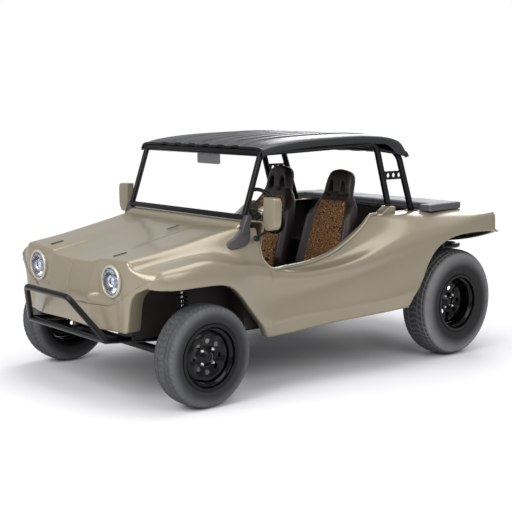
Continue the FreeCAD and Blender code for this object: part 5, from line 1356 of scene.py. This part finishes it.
gearbox = [lathe("case", [(-0.20, 0.0001), (-0.20, 0.062), (-0.185, 0.080), (-0.08, 0.097), (0.06, 0.100),
                          (0.14, 0.092), (0.23, 0.070), (0.229, 0.0001)], (REAR, 0, REAR_Z + 0.010), (1, 0, 0), 48),
           lathe("ball", [(-0.122, 0.0001), (-0.115, 0.045), (-0.085, 0.088), (-0.045, 0.114), (0, 0.123),
                          (0.045, 0.114), (0.085, 0.088), (0.115, 0.045), (0.122, 0.0001)],
                 (REAR, 0, REAR_Z), (0, 1, 0), 48),
           lathe("bell", [(0.0, 0.105), (0.02, 0.112), (0.045, 0.150), (0.052, 0.163), (0.059, 0.163),
                          (0.0595, 0.0001)], (REAR - 0.090, 0, REAR_Z + 0.015), (-1, 0, 0), 48)]
for side in (1, -1):
    gearbox.append(lathe("boot", [(0.105, 0.080), (0.12, 0.052), (0.135, 0.058), (0.15, 0.048), (0.165, 0.054),
                                  (0.18, 0.044), (0.195, 0.038), (0.610, 0.037)],
                         (REAR, 0, REAR_Z), (0, side, 0), 36))
    gearbox.append(lathe("drum", [(0.590, 0.03), (0.590, 0.098), (0.595, 0.104), (0.627, 0.104), (0.6315, 0.100),
                                  (0.6315, 0.015)], (REAR, 0, REAR_Z), (0, side, 0), 60))
    gearbox.append(tube("stub", [(REAR, side * 0.62, REAR_Z), (REAR, side * 0.8185, REAR_Z)], 0.0148, 24))
    gearbox.append(side_box("arm", side, (REAR - 0.019, 0.561, REAR_Z - 0.029), (REAR + 0.2305, 0.599, REAR_Z + 0.029),
                            0.006))
dark_cast = finish("dark casting", (50, 48, 46), 0.5, metal=0.6, cloud=0.15, cloud_size=9)
dress(merged("gearbox_and_axle", gearbox), dark_cast, stands_for=("transaxle",))

# ================================================================ engine and exhaust
# An air-cooled flat four with finned cylinders and a sheet fan housing; two black silencers with
# bright tips on copper-brown header pipes.
ENGINE_X = REAR - 0.150
engine_parts = [box_piece("crankcase", (ENGINE_X - 0.269, -0.169, REAR_Z - 0.089),
                          (ENGINE_X - 0.001, 0.169, REAR_Z + 0.149), 0.014, 3)]
for side in (1, -1):
    for row in (ENGINE_X - 0.190, ENGINE_X - 0.090):
        barrel_line = []
        for step in range(13):
            y = 0.172 + step * 0.0125
            barrel_line += [(y, 0.033), (y, 0.047), (y + 0.004, 0.047), (y + 0.004, 0.033)]
        engine_parts.append(lathe("barrel", barrel_line, (row, 0, REAR_Z + 0.035), (0, side, 0), 32, sharp=20))
    engine_parts.append(side_box("cover", side, (ENGINE_X - 0.236, 0.334, REAR_Z - 0.010),
                                 (ENGINE_X - 0.046, 0.354, REAR_Z + 0.080), 0.008))
    engine_parts.append(side_box("head", side, (ENGINE_X - 0.239, 0.300, REAR_Z - 0.013),
                                 (ENGINE_X - 0.044, 0.336, REAR_Z + 0.083), 0.005))
dress(merged("engine_block", engine_parts), cast, stands_for=("engine",))
grey_tin = finish("fan housing", (122, 118, 110), 0.35, metal=0.6, cloud=0.12, cloud_size=8)
housing_line = rounded_line([(-0.209, REAR_Z + 0.150), (-0.209, REAR_Z + 0.260), (-0.120, REAR_Z + 0.329),
                             (0.120, REAR_Z + 0.329), (0.209, REAR_Z + 0.260), (0.209, REAR_Z + 0.150)], 0.3, 6)
housing = [prism("housing", housing_line, "x", ENGINE_X - 0.214, ENGINE_X - 0.096, 0.008, 3),
           lathe("pulley", [(0.0, 0.0001), (0.0, 0.084), (0.004, 0.0845), (0.010, 0.074), (0.017, 0.0845),
                            (0.021, 0.084), (0.021, 0.055), (0.029, 0.050), (0.0295, 0.0001)],
                 (ENGINE_X - 0.2705, 0, REAR_Z + 0.020), (-1, 0, 0), 64)]
dress(merged("fan_housing_tin", housing), grey_tin)
silencers, tips, headers = [], [], []
MUFFLER_Z = DECK - 0.350
for side in (1, -1):
    place = (REAR - 0.280, side * 0.350, MUFFLER_Z)
    silencers.append(lathe("silencer", [(0.0, 0.0001), (0.001, 0.030), (0.006, 0.046), (0.014, 0.053),
                                        (0.020, 0.0548), (0.180, 0.0548), (0.186, 0.053), (0.194, 0.046),
                                        (0.1995, 0.030), (0.1995, 0.0001)], place, (-1, 0, 0), 48))
    tips.append(lathe("tip", [(0.195, 0.017), (0.195, 0.0215), (0.238, 0.0215), (0.2395, 0.0205), (0.2395, 0.0165),
                              (0.205, 0.0160), (0.204, 0.0001)], place, (-1, 0, 0), 40))
    bends = bent_path([(ENGINE_X - 0.100, side * 0.300, REAR_Z - 0.022),
                       (ENGINE_X - 0.100, side * 0.300, REAR_Z - 0.090),
                       (ENGINE_X - 0.290, side * 0.250, REAR_Z - 0.090),
                       (ENGINE_X - 0.290, side * 0.350, MUFFLER_Z - 0.040)], 0.04)
    headers.append(tube("header", bends, 0.0208, 24))
    headers.append(tube("branch", [(ENGINE_X - 0.190, side * 0.300, REAR_Z - 0.012),
                                   (ENGINE_X - 0.190, side * 0.277, REAR_Z - 0.088)], 0.0165, 24))
silencer_black = finish("silencer black", (20, 19, 21), 0.4, metal=0.3, cloud=0.2, cloud_size=15)
dress(merged("silencer_cans", silencers), silencer_black, stands_for=("exhaust",))
dress(merged("silencer_tips", tips), chrome)
dress(merged("header_pipes", headers), copper)

# ================================================================ controls
# A black rimmed wheel with three grey spokes and a pale boss; three pedals, and two levers on the
# tunnel with black grips.
HUB = np.array([FRONT - 0.893, DRIVER, 1.078])
TILT = np.radians(25)
to_driver = np.array([-np.cos(TILT), 0, np.sin(TILT)])
level = np.array([0.0, 1, 0])
down = np.cross(to_driver, level)
ring_angle = np.linspace(0, 2 * np.pi, 97)[:-1, None]
wheel_radius = 0.162
ring_path = HUB + wheel_radius * (np.cos(ring_angle) * level + np.sin(ring_angle) * down)
dress(tube("steering_rim", ring_path, 0.0128, 20, closed=True), black_plastic, "steering_wheel",
      stands_for=("steering_wheel",))
spokes = []
for degrees in (0, 180, 90):
    out = level * np.cos(np.radians(degrees)) + down * np.sin(np.radians(degrees))
    aside = np.cross(to_driver, out)
    spoke = box_piece("spoke", (0.010, -0.015, -0.0028), (wheel_radius - 0.004, 0.015, 0.0028), 0.0024, 3)
    for vertex in spoke.data.vertices:
        reach = vertex.co.x
        narrow = 1.0 - 0.35 * np.clip(reach / wheel_radius, 0, 1)
        vertex.co = Vector(HUB - to_driver * (0.012 - 0.006 * np.clip(reach / wheel_radius, 0, 1)) + out * reach
                           + aside * vertex.co.y * narrow + to_driver * vertex.co.z)
    spokes.append(spoke)
spoke_grey = finish("spoke grey", (110, 108, 106), 0.35, metal=0.8)
dress(merged("steering_spokes", spokes), spoke_grey, "steering_wheel")
boss = lathe("steering_boss", [(-0.148, 0.0001), (-0.148, 0.0098), (-0.040, 0.0098), (-0.040, 0.030),
                               (-0.034, 0.036), (-0.012, 0.0378), (-0.003, 0.036), (-0.0005, 0.030),
                               (-0.0002, 0.0001)], HUB, to_driver, 64)
dress(boss, finish("boss", (196, 190, 174), 0.3, metal=0.3), "steering_wheel")

PAN = 0.391
pedals = []
for y in (0.200, 0.300, 0.400):
    pedals.append(box_piece("pad", (FRONT - 0.300, y - 0.034, PAN + 0.191), (FRONT - 0.289, y + 0.034, PAN + 0.259),
                            0.004))
    for step in range(4):
        pedals.append(box_piece("rib", (FRONT - 0.3022, y - 0.028, PAN + 0.199 + 0.014 * step),
                                (FRONT - 0.299, y + 0.028, PAN + 0.205 + 0.014 * step), 0.001, 1))
    pedals.append(tube("stem", [(FRONT - 0.290, y, PAN + 0.200), (FRONT - 0.365, y, PAN + 0.0035)], 0.0078, 16))
dress(merged("pedal_set", pedals), steel, stands_for=("pedals",))
levers = [tube("gear", [(FRONT - 0.800, 0, PAN + 0.160), (FRONT - 0.860, 0, PAN + 0.430)], 0.0075, 20),
          box_piece("plate", (FRONT - 0.860, -0.026, PAN + 0.1505), (FRONT - 0.740, 0.026, PAN + 0.158), 0.003),
          lathe("gaiter", [(0.156, 0.024), (0.170, 0.022), (0.172, 0.017), (0.184, 0.018), (0.186, 0.013),
                           (0.200, 0.008)], (FRONT - 0.800, 0, PAN), (-0.2, 0, 1), 32),
          box_piece("foot", (FRONT - 0.985, -0.022, PAN + 0.1505), (FRONT - 0.935, 0.022, PAN + 0.171), 0.004),
          tube("brake", [(FRONT - 0.960, 0, PAN + 0.168), (FRONT - 1.190, 0, PAN + 0.300)], 0.0105, 20)]
dress(merged("lever_rods", levers), steel, stands_for=("hand_levers",))
grips = [lathe("knob", ball(0.0255, 17), (FRONT - 0.860, 0, PAN + 0.440), (0, 0, 1), 32),
         tube("grip", [(FRONT - 1.080, 0, PAN + 0.2369), (FRONT - 1.189, 0, PAN + 0.2994)], 0.0128, 20)]
dress(merged("lever_grips", grips), black_plastic)

# ================================================================ seats
# Two bucket seats: a black vinyl shell with raised bolsters and two belt openings beside the head,
# faced with a patterned brown and gold cloth.  Each is foam, swollen by a short cloth simulation.
def outline_half(height, rows):
    """Half width at a height, read from a table of (height, half width)."""
    rows = np.array(rows)
    return np.interp(height, rows[:, 0], rows[:, 1])


def inflated(piece, voxel, pressure, cap, hold=None, smooth=1):
    """Foam under its cover: a voxel remesh, a short cloth simulation under pressure, then the result kept.

    No point moves further than cap, and none at all where hold is 1.
    """
    remesh = piece.modifiers.new("voxels", "REMESH")
    remesh.mode = "VOXEL"
    remesh.voxel_size = voxel
    remesh.use_smooth_shade = True
    if smooth:
        relax = piece.modifiers.new("relax", "SMOOTH")
        relax.iterations = smooth
        relax.factor = 0.5
    bpy.context.view_layer.update()
    piece.data = evaluated_mesh(piece)
    piece.modifiers.clear()
    before = points_of(piece.data)
    cloth = piece.modifiers.new("foam", "CLOTH")
    cloth.settings.quality = 3
    cloth.settings.use_pressure = True
    cloth.settings.uniform_pressure_force = pressure
    cloth.settings.effector_weights.gravity = 0
    cloth.settings.tension_stiffness = 30
    cloth.settings.bending_stiffness = 4
    last_frame = 20
    cloth.point_cache.frame_start, cloth.point_cache.frame_end = 1, last_frame
    for frame_number in range(1, last_frame + 1):
        bpy.context.scene.frame_set(frame_number)
    swollen = evaluated_mesh(piece)
    move = points_of(swollen) - before
    piece.modifiers.clear()
    bpy.data.meshes.remove(swollen)
    bpy.context.scene.frame_set(1)
    length = np.linalg.norm(move, axis=1, keepdims=True)
    move *= np.minimum(1, cap / np.maximum(length, 1e-9))
    if hold is not None:
        move *= 1 - hold(before)[:, None]
    piece.data.vertices.foreach_set("co", (before + move).ravel())
    piece.data.update()
    piece.data.polygons.foreach_set("use_smooth", [True] * len(piece.data.polygons))


def vinyl_and_cloth():
    """Black vinyl, and brown and gold scrollwork where the piece's cloth attribute is 1."""
    made = finish("seat cover", (40, 29, 26), 0.42, cloud=0.15, cloud_size=20, grain=0.25, grain_size=420)
    tree = made.node_tree
    shader = tree.nodes["Principled BSDF"]
    place = add_node(tree, "TexCoord")
    warp = add_node(tree, "TexNoise", {"Scale": 24})
    shift = add_node(tree, "Mix", {"Factor": 0.04}, data_type="VECTOR")
    curls = add_node(tree, "TexVoronoi", {"Scale": 26}, feature="F1")
    wide = add_node(tree, "Math", {1: 26.0}, operation="MULTIPLY")
    rings = add_node(tree, "Math", operation="SINE")
    pattern = add_node(tree, "ValToRGB")
    for end, (position, colour) in enumerate(((0.35, (70, 47, 34)), (0.65, (178, 128, 72)))):
        pattern.color_ramp.elements[end].position = position
        pattern.color_ramp.elements[end].color = linear(*colour)
    where = add_node(tree, "Attribute", attribute_name="cloth")
    choose = add_node(tree, "Mix", data_type="RGBA")
    dull = add_node(tree, "MapRange", {"To Min": 0.42, "To Max": 0.85})
    wire(tree, (place, "Object", warp, "Vector"), (place, "Object", shift, "A"), (warp, "Color", shift, "B"),
         (shift, "Result", curls, "Vector"), (curls, "Distance", wide, 0), (wide, 0, rings, 0),
         (rings, 0, pattern, "Fac"), (where, "Fac", choose, "Factor"), (tree.nodes["Mix"], "Result", choose, "A"),
         (pattern, "Color", choose, "B"), (choose, "Result", shader, "Base Color"), (where, "Fac", dull, "Value"),
         (dull, "Result", shader, "Roughness"))
    return made


SEAT_X = FRONT - 1.145
SEAT_LOW = PAN + 0.0003
# The back is drawn upright, set BACK_SET behind its hinge line, and leaned about that line.
BACK_TURN = about_y(np.radians(-16))
BACK_SET = np.array([-0.060, 0, 0])
BACK_HALF = ((0.0, 0.238), (0.10, 0.240), (0.30, 0.236), (0.42, 0.228), (0.50, 0.214), (0.57, 0.196), (0.63, 0.160),
             (0.66, 0.140), (0.70, 0.131), (0.76, 0.124), (0.80, 0.108), (0.822, 0.085), (0.833, 0.05), (0.836, 0.004))


def back_foot(y):
    """The middle of the back's hinge line, for a seat centred at y."""
    return np.array([SEAT_X - 0.190, y, SEAT_LOW + 0.150])


def drawn_to_points(grid):
    """The grid with one more row at each end, in which the end row is drawn together to its middle."""
    first, last = (np.broadcast_to(row.mean(axis=1, keepdims=True), row.shape) for row in (grid[:1], grid[-1:]))
    return np.concatenate([first, grid, last])


def seat_back(y):
    """The back as a closed grid round each height: flat behind, bolsters standing forward at each side."""
    height = np.concatenate([np.linspace(0.0, 0.62, 40)[:-1], np.linspace(0.62, 0.836, 30)])
    half = outline_half(height, BACK_HALF)[:, None]
    v = np.linspace(-1, 1, 61)[None, :]
    bolster = ramp(np.abs(v), 0.62, 0.86) * (ramp(height, 0.02, 0.14) * (1 - ramp(height, 0.46, 0.62)))[:, None]
    pad = (1 - ramp(np.abs(v), 0.60, 0.70)) * 0.010 * (1 - ramp(height, 0.56, 0.62))[:, None]
    head = (ramp(height, 0.66, 0.72) * (1 - ramp(height, 0.80, 0.836)))[:, None] * 0.012
    round_off = np.sqrt(np.clip(1 - np.abs(v) ** 7, 0, 1))
    front = (0.028 + 0.066 * bolster + pad + head) * round_off
    behind = -(0.040 + 0.016 * (1 - ramp(height, 0.55, 0.70))[:, None]) * round_off
    rows = []
    for surface_of, order in ((front, 1), (behind, -1)):
        block = np.stack(np.broadcast_arrays(surface_of, half * v, height[:, None]), axis=-1)
        rows.append(block[:, ::order])
    grid = drawn_to_points(np.concatenate([rows[0], rows[1][:, 1:-1]], axis=1))
    return surface("seat_back", (grid + BACK_SET) @ BACK_TURN.T + back_foot(y), closed_columns=True)


def seat_pad(y):
    """The seat's cushion: higher at the front and at its side bolsters, curving down to the floor."""
    x = np.linspace(-0.225, 0.278, 48)[:, None]
    v = np.linspace(-1, 1, 61)[None, :]
    half = 0.240 - 0.030 * ramp(x, 0.16, 0.28)
    middle_top = 0.172 + 0.046 * ramp(x, -0.10, 0.20)
    bolster = ramp(np.abs(v), 0.60, 0.84) * (0.056 * ramp(x, -0.24, -0.16) * (1 - ramp(x, 0.16, 0.285)))
    ends = np.sqrt(np.clip(1 - np.abs((x - 0.0265) / 0.252) ** 9, 0, 1))
    round_off = np.sqrt(np.clip(1 - np.abs(v) ** 9, 0, 1))
    top = 0.075 + (middle_top + bolster - 0.075) * round_off * ends
    low = 0.058 + 0.015 * (1 - round_off * ends)
    over = np.stack(np.broadcast_arrays(x, half * v, top), axis=-1)
    under = np.stack(np.broadcast_arrays(x, half * v, low), axis=-1)[:, ::-1]
    grid = drawn_to_points(np.concatenate([over, under[:, 1:-1]], axis=1))
    return surface("seat_pad", grid + np.array([SEAT_X, y, SEAT_LOW]), closed_columns=True)


def belt_holes(piece, y):
    """Cuts the two rounded openings between the head and the shoulders."""
    for side in (1, -1):
        corners = rounded_line([(0.066, 0.655), (0.040, 0.648), (0.030, 0.690), (0.038, 0.742), (0.052, 0.756),
                                (0.074, 0.738), (0.096, 0.672), (0.088, 0.655), (0.066, 0.655)], 0.35, 5)[:-1]
        drill = prism("drill", [(side * a, b) for a, b in corners], "x", -0.3, 0.3, 0)
        for vertex in drill.data.vertices:
            vertex.co = Vector(BACK_TURN @ (np.array(vertex.co) + BACK_SET) + back_foot(y))
        cut_out(piece, drill)


def cloth_share(points, y):
    """1 on the cloth facing of the back and the cushion, 0 on the vinyl."""
    local = (points - back_foot(y)) @ BACK_TURN - BACK_SET
    edge = 0.66 * outline_half(local[:, 2], BACK_HALF)
    on_back = ((local[:, 0] > 0.012) & (np.abs(local[:, 1]) < edge) & (local[:, 2] > 0.03) & (local[:, 2] < 0.60))
    on_pad = ((np.abs(points[:, 1] - y) < 0.155) & (points[:, 2] > SEAT_LOW + 0.150) & (points[:, 0] > SEAT_X - 0.19)
              & (points[:, 0] < SEAT_X + 0.262) & (local[:, 0] > 0.05))
    return (on_back | on_pad).astype(float)


cover = vinyl_and_cloth()
back = seat_back(DRIVER)
belt_holes(back, DRIVER)
driver_seat = merged("seat_cover_left", [back, seat_pad(DRIVER)])
inflated(driver_seat, 0.006, 4.0, 0.006)
points = points_of(driver_seat.data)
driver_seat.data.attributes.new("cloth", "FLOAT", "POINT").data.foreach_set("value", cloth_share(points, DRIVER))
other_seat = driver_seat.copy()
other_seat.data = driver_seat.data.copy()
other_seat.name = other_seat.data.name = "seat_cover_right"
bpy.context.collection.objects.link(other_seat)
other_seat.data.vertices.foreach_set("co", (points - [0, 2 * DRIVER, 0]).ravel())
other_seat.data.update()
for hand, side, seat in (("left", 1, driver_seat), ("right", -1, other_seat)):
    y = side * DRIVER
    dress(seat, cover, stands_for=("seat_" + hand,))
    base = box_piece("seat_base_" + hand, (SEAT_X - 0.225, y - 0.180, SEAT_LOW),
                     (SEAT_X + 0.245, y + 0.180, SEAT_LOW + 0.060), 0.008)
    dress(base, black_plastic)

# ================================================================ rear cushion
# A grey vinyl sun pad across the deck, foam filled: five sewn segments, with ends that run forward
# round the hoop's feet.
PAD_LOW = DECK + 0.0003
PAD_TALL = 0.052


def pad_piece(name, outline):
    """One flat-bottomed segment of foam, slightly smaller than its finished size."""
    return prism(name, outline, "z", PAD_LOW + 0.001, PAD_LOW + PAD_TALL - 0.006, 0.010, 4)


back_x, front_x, hook_x = REAR - 0.221, REAR + 0.058, REAR + 0.156
cuts = (-0.440, -0.150, 0.150, 0.440)
segments = []
for low, high in zip((-0.560,) + cuts, cuts + (0.560,)):
    segments.append(pad_piece("pad", [(back_x, low + 0.0015), (front_x, low + 0.0015), (front_x, high - 0.0015),
                                      (back_x, high - 0.0015)]))
for side in (1, -1):
    line = rounded_line([(back_x, side * 0.5585), (back_x, side * 0.741), (hook_x, side * 0.771),
                         (hook_x, side * 0.664), (front_x, side * 0.664), (front_x, side * 0.5585),
                         (back_x, side * 0.5585)], 0.06, 5)[:-1]
    segments.append(pad_piece("pad", line.tolist() if side > 0 else line[::-1].tolist()))
sun_pad = merged("sun_pad", segments)
flat_under = lambda points: 1 - ramp(points[:, 2], PAD_LOW + 0.004, PAD_LOW + 0.018)
inflated(sun_pad, 0.006, 4.0, 0.005, hold=flat_under)
pad_grey = finish("pad vinyl", (86, 87, 91), 0.55, cloud=0.08, cloud_size=8, grain=0.35, grain_size=260)
dress(sun_pad, pad_grey, stands_for=("rear_cushion",))
